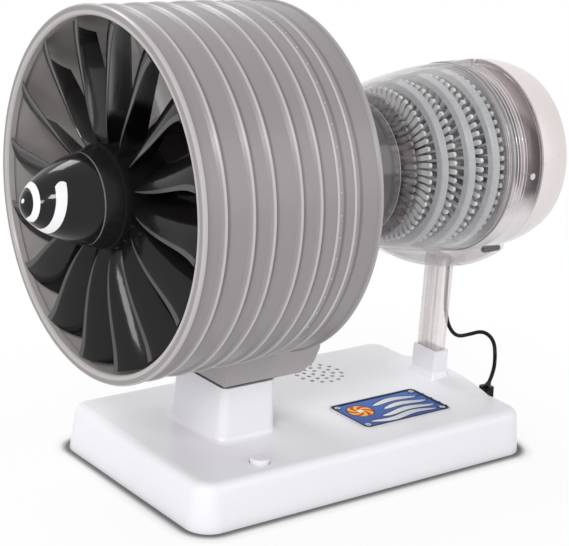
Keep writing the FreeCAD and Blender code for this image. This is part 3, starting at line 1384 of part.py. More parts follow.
os.makedirs("parts", exist_ok=True)
for node, shape in all_nodes().items():
    if not shape.isValid():
        print("not valid:", node)
    shape.exportStep("parts/%s.step" % node)
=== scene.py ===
"""Looks of a desktop jet engine model: a ribbed grey duct with a black fan, a clear core and a white stand.

Meshes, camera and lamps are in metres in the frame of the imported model. Finishes, bladed rows and the
lead's route are written in millimetres. The engine's axis runs along X at the height AXIS_HEIGHT, from the
intake at -X to the exhaust at +X, and the table is at z = 0.
"""

from __future__ import annotations

import json
import logging
import math
from dataclasses import dataclass
from enum import Enum
from typing import Any, Dict, List, Optional, Sequence, Tuple, Union

import bmesh
import bpy
from mathutils import Matrix, Vector

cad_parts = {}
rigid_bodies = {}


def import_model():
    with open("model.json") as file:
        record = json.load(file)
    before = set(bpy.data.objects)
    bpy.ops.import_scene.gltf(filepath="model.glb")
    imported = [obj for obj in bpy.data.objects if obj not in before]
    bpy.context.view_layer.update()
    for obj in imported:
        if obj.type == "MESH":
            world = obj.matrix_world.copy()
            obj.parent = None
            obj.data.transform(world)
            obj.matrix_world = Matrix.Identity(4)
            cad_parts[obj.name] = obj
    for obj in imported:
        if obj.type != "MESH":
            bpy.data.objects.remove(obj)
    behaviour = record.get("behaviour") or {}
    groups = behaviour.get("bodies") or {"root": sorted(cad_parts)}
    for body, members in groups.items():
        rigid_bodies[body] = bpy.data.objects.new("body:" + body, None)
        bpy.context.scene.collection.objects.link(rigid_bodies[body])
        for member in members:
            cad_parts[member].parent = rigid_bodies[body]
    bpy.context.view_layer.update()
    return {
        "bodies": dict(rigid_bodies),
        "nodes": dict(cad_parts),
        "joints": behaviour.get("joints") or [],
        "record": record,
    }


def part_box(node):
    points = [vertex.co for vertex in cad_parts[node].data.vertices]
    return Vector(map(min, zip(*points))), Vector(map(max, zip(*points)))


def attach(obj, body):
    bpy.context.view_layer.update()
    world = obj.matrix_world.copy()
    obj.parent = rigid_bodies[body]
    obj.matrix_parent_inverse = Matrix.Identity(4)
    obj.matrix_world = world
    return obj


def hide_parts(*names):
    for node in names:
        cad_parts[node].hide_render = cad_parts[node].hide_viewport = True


LOG = logging.getLogger("jet_engine_model")

Colour = Tuple[float, float, float]
Point = Tuple[float, float, float]
Span = Tuple[float, float]
Material = bpy.types.Material
Object = bpy.types.Object
Work = bmesh.types.BMesh
Loop = List[bmesh.types.BMVert]

AXIS_HEIGHT = 0.1698
MM = 0.001


def tone(code: str) -> Colour:
    """Turn a screen colour into linear light.

    Args:
        code: Six hexadecimal digits, as in "A5A09E".

    Returns:
        Linear red, green and blue.
    """
    parts = [int(code[place : place + 2], 16) / 255 for place in (0, 2, 4)]
    linear = [part / 12.92 if part <= 0.04045 else ((part + 0.055) / 1.055) ** 2.4 for part in parts]
    return linear[0], linear[1], linear[2]


# ---- Shader graph ----
class Wire:
    """A shader value on its way to a socket; arithmetic on it adds Math nodes."""

    def __init__(self, graph: Graph, socket: bpy.types.NodeSocket) -> None:
        """Keep the graph and the output socket that the value comes from."""
        self.graph = graph
        self.socket = socket

    def _math(self, operation: str, *others: Number, first: bool = True) -> Wire:
        """Add one Math node.

        Args:
            operation: Blender's name of the operation.
            others: The other operands.
            first: Whether this wire is the first operand.

        Returns:
            The node's result.
        """
        operands = [self, *others] if first else [*others, self]
        return self.graph.wire("ShaderNodeMath", {"operation": operation}, dict(enumerate(operands)))

    def __add__(self, other: Number) -> Wire:
        """Sum."""
        return self._math("ADD", other)

    __radd__ = __add__

    def __sub__(self, other: Number) -> Wire:
        """Difference."""
        return self._math("SUBTRACT", other)

    def __rsub__(self, other: Number) -> Wire:
        """Difference from a number."""
        return self._math("SUBTRACT", other, first=False)

    def __mul__(self, other: Number) -> Wire:
        """Product."""
        return self._math("MULTIPLY", other)

    __rmul__ = __mul__

    def __truediv__(self, other: Number) -> Wire:
        """Quotient."""
        return self._math("DIVIDE", other)

    def __rtruediv__(self, other: Number) -> Wire:
        """Quotient of a number by this."""
        return self._math("DIVIDE", other, first=False)

    def __pow__(self, other: Number) -> Wire:
        """Power."""
        return self._math("POWER", other)

    def __neg__(self) -> Wire:
        """Opposite value."""
        return self._math("MULTIPLY", -1.0)

    def __abs__(self) -> Wire:
        """Size without sign."""
        return self._math("ABSOLUTE")

    def low(self, other: Number) -> Wire:
        """Smaller of two values."""
        return self._math("MINIMUM", other)

    def high(self, other: Number) -> Wire:
        """Larger of two values."""
        return self._math("MAXIMUM", other)

    def clip(self) -> Wire:
        """Value held between 0 and 1."""
        return self.high(0.0).low(1.0)

    def wrap(self, span: float) -> Wire:
        """Value carried into the span from 0 to the given number."""
        return self._math("WRAP", span, 0.0)

    def root(self) -> Wire:
        """Square root."""
        return self._math("SQRT")

    def sine(self) -> Wire:
        """Sine of this value in radians."""
        return self._math("SINE")

    def grow(self) -> Wire:
        """Exponential of this value."""
        return self._math("EXPONENT")

    def angle(self, across: Wire) -> Wire:
        """Angle of the direction (across, this) in degrees."""
        return self._math("ARCTAN2", across) * (180 / math.pi)

    def length(self, other: Wire) -> Wire:
        """Length of the direction (this, other)."""
        return (self * self + other * other).root()

    def ease(self, start: float, end: float) -> Wire:
        """Smooth rise from 0 to 1.

        Args:
            start: Value where it is 0; it may lie beyond the end.
            end: Value where it is 1.

        Returns:
            The rise.
        """
        flip = start > end
        low, high = (end, start) if flip else (start, end)
        settings = {"interpolation_type": "SMOOTHSTEP"}
        rise = self.graph.wire("ShaderNodeMapRange", settings, {0: self, 1: low, 2: high})
        return 1 - rise if flip else rise

    def near(self, half: Span, *stations: float) -> Wire:
        """Mask of narrow bands.

        Args:
            half: Half widths at which a band ends and at which it is full.
            stations: Middles of the bands.

        Returns:
            One in the middle of a band, zero off it.
        """
        miss = abs(self - stations[0])
        for station in stations[1:]:
            miss = miss.low(abs(self - station))
        return miss.ease(*half)

    def over(self, level: float, soft: float = 0.1) -> Wire:
        """One beyond a level and zero before it, with a soft edge."""
        return self.ease(level - soft, level + soft)

    def under(self, level: float, soft: float = 0.1) -> Wire:
        """One before a level and zero beyond it, with a soft edge."""
        return self.ease(level + soft, level - soft)


Number = Union[Wire, float, int]


def outside_plate(along: Wire, across: Wire, length: float, width: float, corner: float) -> Wire:
    """Distance out of a rectangle with round corners, less than zero inside it.

    Args:
        along: Place along the rectangle from its middle.
        across: Place across it.
        length: Its size along.
        width: Its size across.
        corner: Radius of its corners.

    Returns:
        The distance from its edge.
    """
    beyond = abs(along) - (length / 2 - corner)
    aside = abs(across) - (width / 2 - corner)
    return beyond.high(0.0).length(aside.high(0.0)) + beyond.high(aside).low(0.0) - corner


class Graph:
    """Node tree of one material or of the sky, built from plain calls."""

    def __init__(self, owner: Union[Material, bpy.types.World]) -> None:
        """Start with an empty tree.

        Args:
            owner: Material or world that the tree belongs to.
        """
        owner.use_nodes = True
        self.owner = owner
        self.tree = owner.node_tree
        self.tree.nodes.clear()

    @classmethod
    def named(cls, name: str) -> Graph:
        """Start the graph of a new material."""
        return cls(bpy.data.materials.new(name))

    def node(self, kind: str, settings: Dict[str, Any], sockets: Dict[Any, Any]) -> bpy.types.Node:
        """Add any node.

        Args:
            kind: Type of the node.
            settings: The node's own settings, set first.
            sockets: Values or wires by the input's name or number.

        Returns:
            The new node.
        """
        made = self.tree.nodes.new(kind)
        for name, value in settings.items():
            setattr(made, name, value)
        for key, value in sockets.items():
            socket = made.inputs[key]
            if isinstance(value, Wire):
                self.tree.links.new(value.socket, socket)
            elif socket.type == "RGBA":
                socket.default_value = (*value, 1.0)
            else:
                socket.default_value = value
        return made

    def wire(self, kind: str, settings: Dict[str, Any], sockets: Dict[Any, Any], output: Any = 0) -> Wire:
        """Add a node and return one of its outputs as a wire."""
        return Wire(self, self.node(kind, settings, sockets).outputs[output])

    def spot(self) -> Wire:
        """Place on the piece as a vector in metres."""
        return self.wire("ShaderNodeTexCoord", {}, {}, "Object")

    def place(self) -> Tuple[Wire, ...]:
        """Place on the piece in its own frame, in millimetres along X, Y and Z."""
        split = self.node("ShaderNodeSeparateXYZ", {}, {0: self.spot()})
        return tuple(Wire(self, part) * (1 / MM) for part in split.outputs)

    def around(self) -> Tuple[Wire, Wire, Wire, Wire]:
        """Place on the piece from the engine's axis, in millimetres.

        Returns:
            Distances along the axis, across it, above it and away from it.
        """
        along, across, up = self.place()
        rise = up - AXIS_HEIGHT / MM
        return along, across, rise, across.length(rise)

    def noise(self, scale: float, detail: float = 3.0, stretch: Point = (1.0, 1.0, 1.0)) -> Wire:
        """Noise over the piece.

        Args:
            scale: Coarseness, in waves per metre.
            detail: Number of finer layers.
            stretch: Factors along the three axes.

        Returns:
            A value around one half.
        """
        mapped = self.wire("ShaderNodeMapping", {}, {0: self.spot(), "Scale": stretch})
        sockets = {"Vector": mapped, "Scale": scale, "Detail": detail, "Roughness": 0.55}
        return self.wire("ShaderNodeTexNoise", {}, sockets)

    def gloss(self, middle: float, swing: float, scale: float = 80.0) -> Wire:
        """Roughness that wanders round its middle by up to half the swing either way."""
        return (self.noise(scale) - 0.5) * swing + middle

    def mix(self, share: Number, first: Any, second: Any) -> Wire:
        """Blend of two colours by a share from 0 to 1."""
        return self.wire("ShaderNodeMix", {"data_type": "RGBA"}, {0: share, 6: first, 7: second}, 2)

    def bump(self, height: Wire, depth: float) -> Wire:
        """Surface normal of a height map, whose full step is the depth in millimetres."""
        return self.wire("ShaderNodeBump", {}, {"Strength": 1.0, "Distance": depth * MM, "Height": height})

    def eye(self) -> Wire:
        """Tell the rays that look at the room from those that only light it.

        Returns:
            One for rays straight from the camera or by way of gloss and clear plastic, else zero.
        """
        rays = self.node("ShaderNodeLightPath", {}, {})
        seen = Wire(self, rays.outputs["Is Camera Ray"])
        for ray in ("Is Glossy Ray", "Is Transmission Ray"):
            seen = seen.high(Wire(self, rays.outputs[ray]))
        return seen

    def plastic(self, sockets: Dict[Any, Any]) -> Wire:
        """Add a Principled shader with the given sockets."""
        return self.wire("ShaderNodeBsdfPrincipled", {}, sockets)

    def finish(self, shader: Wire) -> Material:
        """Send a shader to the surface and return the material."""
        self.node("ShaderNodeOutputMaterial", {}, {0: shader})
        return self.owner


# ---- Finishes ----
class Axis(Enum):
    """Directions in which a finish is measured, by the number of the place's part."""

    ALONG = 0
    UP = 2


@dataclass(frozen=True)
class Edge:
    """Second colour of a moulding from a station on, used for a painted highlight, a painted shadow and a
    seam line.
    """

    colour: Colour
    axis: Axis
    span: Span
    share: float = 1.0

    def paint(self, graph: Graph, colour: Wire) -> Wire:
        """Lay the second colour over the first."""
        mask = graph.place()[self.axis.value].ease(*self.span)
        return graph.mix(mask * self.share, colour, self.colour)


@dataclass(frozen=True)
class Moulding:
    """Moulded plastic or plated metal with a faint unevenness of colour, gloss and surface."""

    name: str
    colour: Colour
    roughness: float = 0.32
    mottle: float = 0.05
    uneven: float = 0.05
    grain: float = 0.004
    grain_scale: float = 2600.0
    coat: float = 0.0
    coat_roughness: float = 0.08
    metallic: float = 0.0
    specular: float = 0.5
    edge: Optional[Edge] = None

    def build(self) -> Material:
        """Make the material.

        Returns:
            The finished material.
        """
        graph = Graph.named(self.name)
        dark, light = (tuple(part * (1 + sign * self.mottle) for part in self.colour) for sign in (-1, 1))
        colour = graph.mix(((graph.noise(34.0, 4.0) - 0.5) * 1.6 + 0.5).clip(), dark, light)
        sockets = {
            "Base Color": self.edge.paint(graph, colour) if self.edge else colour,
            "Roughness": graph.gloss(self.roughness, 2 * self.uneven, 90.0),
            "Metallic": self.metallic,
            "Coat Weight": self.coat,
            "Coat Roughness": self.coat_roughness,
            "Specular IOR Level": self.specular,
            "Normal": graph.bump(graph.noise(self.grain_scale, 2.0), self.grain),
        }
        return graph.finish(graph.plastic(sockets))


@dataclass(frozen=True)
class ClearMoulding:
    """Clear plastic wall: see-through face on, milky and shiny where it is seen along its face."""

    name: str
    tint: Colour
    haze: float
    edge: float
    falloff: float
    lines: Tuple[float, ...] = ()
    line_half: Span = (0.36, 0.16)
    line_share: float = 0.85
    seam: bool = False
    seam_half: Span = (0.55, 0.2)
    seam_share: float = 0.6
    # Share of the painted reflection of the floor on the belly.
    belly: float = 0.0
    belly_level: Span = (-0.12, -0.5)
    streaks: float = 0.0
    streak_run: Point = (1.0, 1.0, 0.02)
    patches: float = 0.06
    roughness: float = 0.06
    through: Colour = (0.97, 0.965, 0.967)

    def build(self) -> Material:
        """Make the material.

        Returns:
            The finished material.
        """
        graph = Graph.named(self.name)
        milky = {
            "Base Color": self.tint,
            "Roughness": graph.gloss(self.roughness, 0.05, 60.0),
            "Specular IOR Level": 0.6,
            "Coat Weight": 0.6,
            "Coat Roughness": 0.03,
            "Normal": graph.bump(graph.noise(40.0, 2.0), 0.05),
        }
        clear = graph.wire("ShaderNodeBsdfTransparent", {}, {"Color": self.through})
        sockets = {0: self._milk(graph), 1: clear, 2: graph.plastic(milky)}
        return graph.finish(graph.wire("ShaderNodeMixShader", {}, sockets))

    def _milk(self, graph: Graph) -> Wire:
        """Put haze, sheen at the rims, turned lines, seam, painted reflection on the belly and streaks
        together.

        Args:
            graph: The material's graph.

        Returns:
            Share of the milky surface.
        """
        facing = graph.wire("ShaderNodeLayerWeight", {}, {"Blend": 0.5}, "Facing")
        uneven = (graph.noise(30.0) - 0.5) * self.patches
        share = facing**self.falloff * self.edge + self.haze + uneven
        along, across, rise, reach = graph.around()
        if self.lines:
            share = share.high(along.near(self.line_half, *self.lines) * self.line_share)
        if self.seam:
            share = share.high(across.near(self.seam_half, 0.0) * self.seam_share)
        # Painted reflection: the belly goes milky and pale, standing in for the white floor reflected in
        # it.
        if self.belly:
            share = share.high((rise / reach).ease(*self.belly_level) * self.belly)
        if self.streaks:
            share = share + (graph.noise(420.0, 2.0, self.streak_run) - 0.5) * self.streaks
        return share.clip()


@dataclass(frozen=True)
class DuctPlastic:
    """Grey moulding of the duct: rib crest and rims with painted highlights, painted shade behind each rib.
    """

    name: str = "duct_grey"
    colour: Colour = tone("8F8A8B")
    # Bore colour, lighter than the outside: painted light on the wall of the bore.
    inner: Colour = tone("B7B2B0")
    # Colour of the painted highlights.
    pale: Colour = tone("D6D1D1")
    # Colour of the painted shade behind the ribs.
    shade: Colour = tone("5E5958")
    bore: Span = (95.4, 95.6)
    steps: Tuple[float, ...] = (-133.75, -117.15, -104.55, -87.85, -75.55, -62.0, -51.2)
    corner: float = 1.1
    corner_half: Span = (1.6, 0.48)
    corner_level: Span = (98.0, 97.4)
    corner_share: float = 0.55
    crests: Span = (97.7, 98.3)
    crest_share: float = 0.5
    fronts: Tuple[float, ...] = (-65.2, -54.1)
    front_half: Span = (0.5, 0.15)
    front_share: float = 0.6

    def build(self) -> Material:
        """Make the material.

        Returns:
            The finished material.
        """
        graph = Graph.named(self.name)
        along, _, _, reach = graph.around()
        outside = reach.ease(*self.bore)
        # Painted light: the bore is coloured lighter than the outside.
        colour = graph.mix(outside, self.inner, self.colour)
        # Painted shade in the corner behind each rib and band.
        corner = (along - self.corner).near(self.corner_half, *self.steps)
        corner = corner * reach.ease(*self.corner_level) * outside
        colour = graph.mix(corner * self.corner_share, colour, self.shade)
        # Painted highlights: pale on the crest of each rib, the lip and rims, and along the front edges of
        # the two bands.
        front = along.near(self.front_half, *self.fronts) * outside
        painted_highlight = (reach.ease(*self.crests) * self.crest_share).high(front * self.front_share)
        sockets = {
            "Base Color": graph.mix(painted_highlight, colour, self.pale),
            "Roughness": graph.gloss(0.36, 0.05, 70.0),
            "Coat Weight": 0.1,
            "Coat Roughness": 0.15,
            "Normal": graph.bump(graph.noise(45.0, 1.0), 0.03),
        }
        return graph.finish(graph.plastic(sockets))


@dataclass(frozen=True)
class FanPlastic:
    """Glossy black of the fan, with a thin painted highlight along the front of each blade and a dull hub
    step.
    """

    name: str = "fan_black"
    black: Colour = (0.009, 0.008, 0.0085)
    # Colour of the painted highlight along each blade's front edge.
    edge: Colour = (0.26, 0.25, 0.26)
    front: float = -147.3
    setback: float = 6.3
    root: float = 26.0
    fall: float = 11.0
    edge_highlight_share: float = 0.3
    edge_depth: Span = (0.3, 0.1)
    edge_foot: Span = (31.0, 36.0)
    step: float = -146.3
    step_half: Span = (1.6, 0.9)
    step_rim: Span = (31.0, 29.5)
    coat: float = 0.34

    def build(self) -> Material:
        """Make the material.

        Returns:
            The finished material.
        """
        graph = Graph.named(self.name)
        along, _, _, reach = graph.around()
        lead = ((self.root - reach) / self.fall).grow() * self.setback + self.front
        # Painted highlight: a thin pale band along the front edge of each blade.
        rim = (along - lead).ease(*self.edge_depth) * reach.ease(*self.edge_foot)
        step = along.near(self.step_half, self.step) * reach.ease(*self.step_rim)
        sockets = {
            "Base Color": graph.mix(rim * self.edge_highlight_share, self.black, self.edge),
            "Roughness": graph.gloss(0.24, 0.08, 70.0) + rim * 0.2 + step * 0.4,
            "Coat Weight": self.coat - step * self.coat,
            "Coat Roughness": 0.1,
            "Specular IOR Level": 0.06,
            "Normal": graph.bump(graph.noise(60.0, 2.0), 0.05),
        }
        return graph.finish(graph.plastic(sockets))


@dataclass(frozen=True)
class CasingCurve:
    """Ellipse that the clear casing follows along the engine's axis, in millimetres."""

    crest: float = 108.0
    half_length: float = 127.0
    radius: float = 56.8
    wall: float = 1.6

    def inside(self, station: float) -> float:
        """Inner radius of the casing at a station."""
        share = (station - self.crest) / self.half_length
        return self.radius * math.sqrt(1 - share**2) - self.wall

    def outside(self, along: Wire) -> Wire:
        """Outer radius of the casing at a shader's place along the axis."""
        share = (along - self.crest) / self.half_length
        return (1 - share * share).root() * self.radius


CASING = CasingCurve()


class RowSlot(Enum):
    """Material slots of the bladed rows."""

    # Slot of the first row: a darker copy of the pale finish, painted shade.
    SHADED = "disc_dark"
    PALE = "disc_pale"


@dataclass(frozen=True)
class RowPlastic:
    """Plastic of the bladed rows: pale tips of the rods, with painted shade on their feet and flanks."""

    slot: RowSlot
    pale: Colour
    # Colour of the painted shade on the rods' feet and flanks.
    dark: Colour
    tip_gap: float = 2.8
    lit_share: Span = (0.72, 0.86)
    pitch: float = 6.0
    crown_half: Span = (1.6, 1.4)
    flank: float = 0.1

    def build(self) -> Material:
        """Make the material.

        Returns:
            The finished material.
        """
        graph = Graph.named(self.slot.value)
        along, across, rise, reach = graph.around()
        half = self.pitch / 2
        aside = abs((rise.angle(across) + half).wrap(self.pitch) - half) * reach * math.radians(1.0)
        crown = aside.ease(*self.crown_half) * (1 - self.flank) + self.flank
        tip = CASING.outside(along) - self.tip_gap
        sockets = {
            # Painted shade: darker towards each rod's foot and on its flanks, where the gaps lie in shade.
            "Base Color": graph.mix((reach / tip).ease(*self.lit_share) * crown, self.dark, self.pale),
            "Roughness": graph.gloss(0.25, 0.1),
            "Coat Weight": 0.2,
            "Coat Roughness": 0.08,
            "Normal": graph.bump(graph.noise(1500.0, 2.0), 0.004),
        }
        return graph.finish(graph.plastic(sockets))


@dataclass(frozen=True)
class LinerPlating:
    """Plated drum of the rear case: painted light below, grey in front, with a dark window on either side.
    """

    name: str = "liner_plating"
    # Colour of the painted light on the lower part.
    pale: Colour = tone("F2ECEE")
    front: Colour = tone("676265")
    rear: Colour = tone("B3A5A4")
    dark: Colour = tone("6C5F61")
    step: float = 109.6
    lean: float = 0.02
    window: Span = (0.86, 0.66)
    window_front: Span = (2.6, 3.0)
    belly: Span = (-0.08, -0.3)

    def build(self) -> Material:
        """Make the material.

        Returns:
            The finished material.
        """
        graph = Graph.named(self.name)
        along, _, rise, reach = graph.around()
        behind = along - self.step
        slant = rise / reach + behind * self.lean
        colour = graph.mix(behind.over(0.0, 0.4), self.front, self.rear)
        window = slant.ease(*self.window) * behind.ease(*self.window_front)
        colour = graph.mix(window, colour, self.dark)
        sockets = {
            # Painted light: the lower part turns pale, standing in for light it gets too little of.
            "Base Color": graph.mix(slant.ease(*self.belly), colour, self.pale),
            "Metallic": 0.1,
            "Roughness": graph.gloss(0.24, 0.1),
            "Coat Weight": 0.4,
            "Coat Roughness": 0.06,
        }
        return graph.finish(graph.plastic(sockets))


@dataclass(frozen=True)
class BulkheadPlastic:
    """Dark disc across the core with a paler grooved rim that shows through the clear casing."""

    name: str = "bulkhead_grey"
    dark: Colour = tone("3E3A3B")
    pale: Colour = tone("A39DA0")
    rim: float = 49.6
    groove_first: float = 1.2
    groove_pitch: float = 1.8
    groove_half: Span = (0.3, 0.6)

    def build(self) -> Material:
        """Make the material.

        Returns:
            The finished material.
        """
        graph = Graph.named(self.name)
        _, _, _, reach = graph.around()
        depth = (reach - self.rim - self.groove_first).wrap(self.groove_pitch)
        groove = abs(depth - self.groove_pitch / 2).ease(*self.groove_half)
        sockets = {
            "Base Color": graph.mix(reach.over(self.rim, 0.2) * (groove * 0.5 + 0.5), self.dark, self.pale),
            "Roughness": graph.gloss(0.3, 0.1),
            "Coat Weight": 0.2,
        }
        return graph.finish(graph.plastic(sockets))


@dataclass(frozen=True)
class SpinnerPaint:
    """Glossy black nose with a white painted spiral that winds in to a dot at the tip."""

    name: str = "spinner_paint"
    black: Colour = (0.006, 0.0055, 0.0065)
    white: Colour = (0.86, 0.85, 0.87)
    tip: float = -191.0
    # Seam at the nose's base, where a thin pale line is a painted highlight.
    seam: float = -156.35
    seam_half: Span = (0.5, 0.25)
    seam_share: float = 0.2
    start: float = 52.0
    winding: Point = (0.000038, -0.044, 15.8)
    thickness: Span = (0.12, 0.72)
    first_taper: float = 6.0
    last_taper: Span = (520.0, 470.0)
    dot: Span = (0.6, 2.6)
    dot_radius: Span = (1.25, 1.1)
    dot_depth: Span = (4.0, 3.0)

    def build(self) -> Material:
        """Make the material.

        Returns:
            The finished material.
        """
        graph = Graph.named(self.name)
        along, across, rise, _ = graph.around()
        side = -across
        turn = (self.start - rise.angle(side)).wrap(360.0)
        back = along - self.tip
        dot = (side - self.dot[0]).length(rise - self.dot[1])
        dot = dot.ease(*self.dot_radius) * back.ease(*self.dot_depth)
        white = self._band(turn, back).high(self._band(turn + 360.0, back)).high(dot)
        colour = graph.mix(white, self.black, self.white)
        # Painted highlight: a thin pale line along the seam where the nose meets the hub.
        seam = along.near(self.seam_half, self.seam) * self.seam_share
        sockets = {
            "Base Color": graph.mix(seam, colour, self.white),
            "Roughness": graph.gloss(0.16, 0.06) + white * 0.12,
            "Coat Weight": 0.4,
            "Coat Roughness": 0.03,
            "Specular IOR Level": 0.1,
            "Normal": graph.bump(white * 0.6 + graph.noise(60.0, 2.0), 0.03),
        }
        return graph.finish(graph.plastic(sockets))

    def _band(self, turn: Wire, back: Wire) -> Wire:
        """Mask of one turn of the spiral.

        Args:
            turn: Degrees wound in from the spiral's outer end.
            back: Millimetres behind the tip.

        Returns:
            One on the paint, zero off it.
        """
        bend, slope, outer = self.winding
        share, least = self.thickness
        middle = turn * turn * bend + turn * slope + outer
        ends = (turn / self.first_taper).low(1.0).root() * turn.ease(*self.last_taper)
        half = (middle * share + least) * ends
        return (half - abs(back - middle)).over(0.0, 0.08)


# ---- Meshes ----
def add_piece(name: str, data: bpy.types.ID) -> Object:
    """Put new data into the scene as a piece of its own.

    Args:
        name: Name of the piece.
        data: Its mesh, curve, lamp or camera.

    Returns:
        The new object.
    """
    piece = bpy.data.objects.new(name, data)
    bpy.context.scene.collection.objects.link(piece)
    return piece


def mesh_piece(name: str, work: Work, finish: Material, smooth: bool) -> Object:
    """Turn mesh work into an object in the scene.

    Args:
        name: Name of the piece.
        work: The mesh; it is freed.
        finish: The piece's material.
        smooth: Whether its faces are shaded smooth.

    Returns:
        The new object.
    """
    mesh = bpy.data.meshes.new(name)
    for face in work.faces:
        face.smooth = smooth
    work.to_mesh(mesh)
    work.free()
    mesh.materials.append(finish)
    return add_piece(name, mesh)


Dressing = Tuple[Tuple[Moulding, Tuple[str, ...]], ...]


class Model:
    """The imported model's nodes, with the calls that dress them."""

    def __init__(self, frame: Dict[str, Any]) -> None:
        """Keep the loaded frame's nodes."""
        self.nodes = frame["nodes"]

    def dress(self, material: Material, *names: str) -> None:
        """Give nodes a finish.

        Args:
            material: The finish.
            names: Nodes that get it.
        """
        for name in names:
            piece = self.nodes[name]
            if not piece.material_slots:
                piece.data.materials.append(material)
            for slot in piece.material_slots:
                slot.material = material
            LOG.info("dressed %s in %s", name, material.name)

    def dress_plain(self, dressing: Dressing) -> None:
        """Give each plain moulding to its nodes."""
        for finish, names in dressing:
            self.dress(finish.build(), *names)


# ---- The stand ----
@dataclass
class Stand:
    """White base with its button and what is inside it."""

    model: Model
    plain: Dressing = (
        (
            Moulding("base_white", tone("F5F4F8"), 0.3, 0.003, 0.02, grain_scale=1500.0, coat=0.15),
            ("base_shell", "base_floor", "battery_door"),
        ),
        (Moulding("button_white", tone("F1F0F4"), 0.25, mottle=0.004, uneven=0.03), ("push_button",)),
        (
            Moulding("switch_black", (0.03, 0.03, 0.032), 0.5),
            ("tact_switch", "switch_plunger", "power_socket"),
        ),
        (Moulding("speaker_black", (0.04, 0.04, 0.045), 0.6), ("speaker",)),
        (Moulding("cell_jacket", tone("30353C"), 0.3, coat=0.4), ("battery_cells",)),
        (Moulding("board_green", (0.02, 0.13, 0.06), 0.35), ("circuit_board", "lamp_board")),
        (
            Moulding("screw_steel", (0.62, 0.62, 0.64), 0.28, metallic=1.0),
            ("base_screws", "saddle_screws", "case_screws", "battery_contacts"),
        ),
    )

    def build(self) -> None:
        """Dress the base and what is in it."""
        self.model.dress_plain(self.plain)


class Print:
    """Print in the making on a level face."""

    def __init__(self, graph: Graph, middle: Span, ground: Colour) -> None:
        """Start with one colour over the face.

        Args:
            graph: Graph of the face's material.
            middle: Middle of the face, from which places on it are measured.
            ground: The first colour.
        """
        along, across, _ = graph.place()
        self.graph = graph
        self.along = along - middle[0]
        self.across = across - middle[1]
        self.colour: Any = ground

    def lay(self, mask: Wire, colour: Any) -> None:
        """Print a colour where the mask is one."""
        self.colour = self.graph.mix(mask, self.colour, colour)


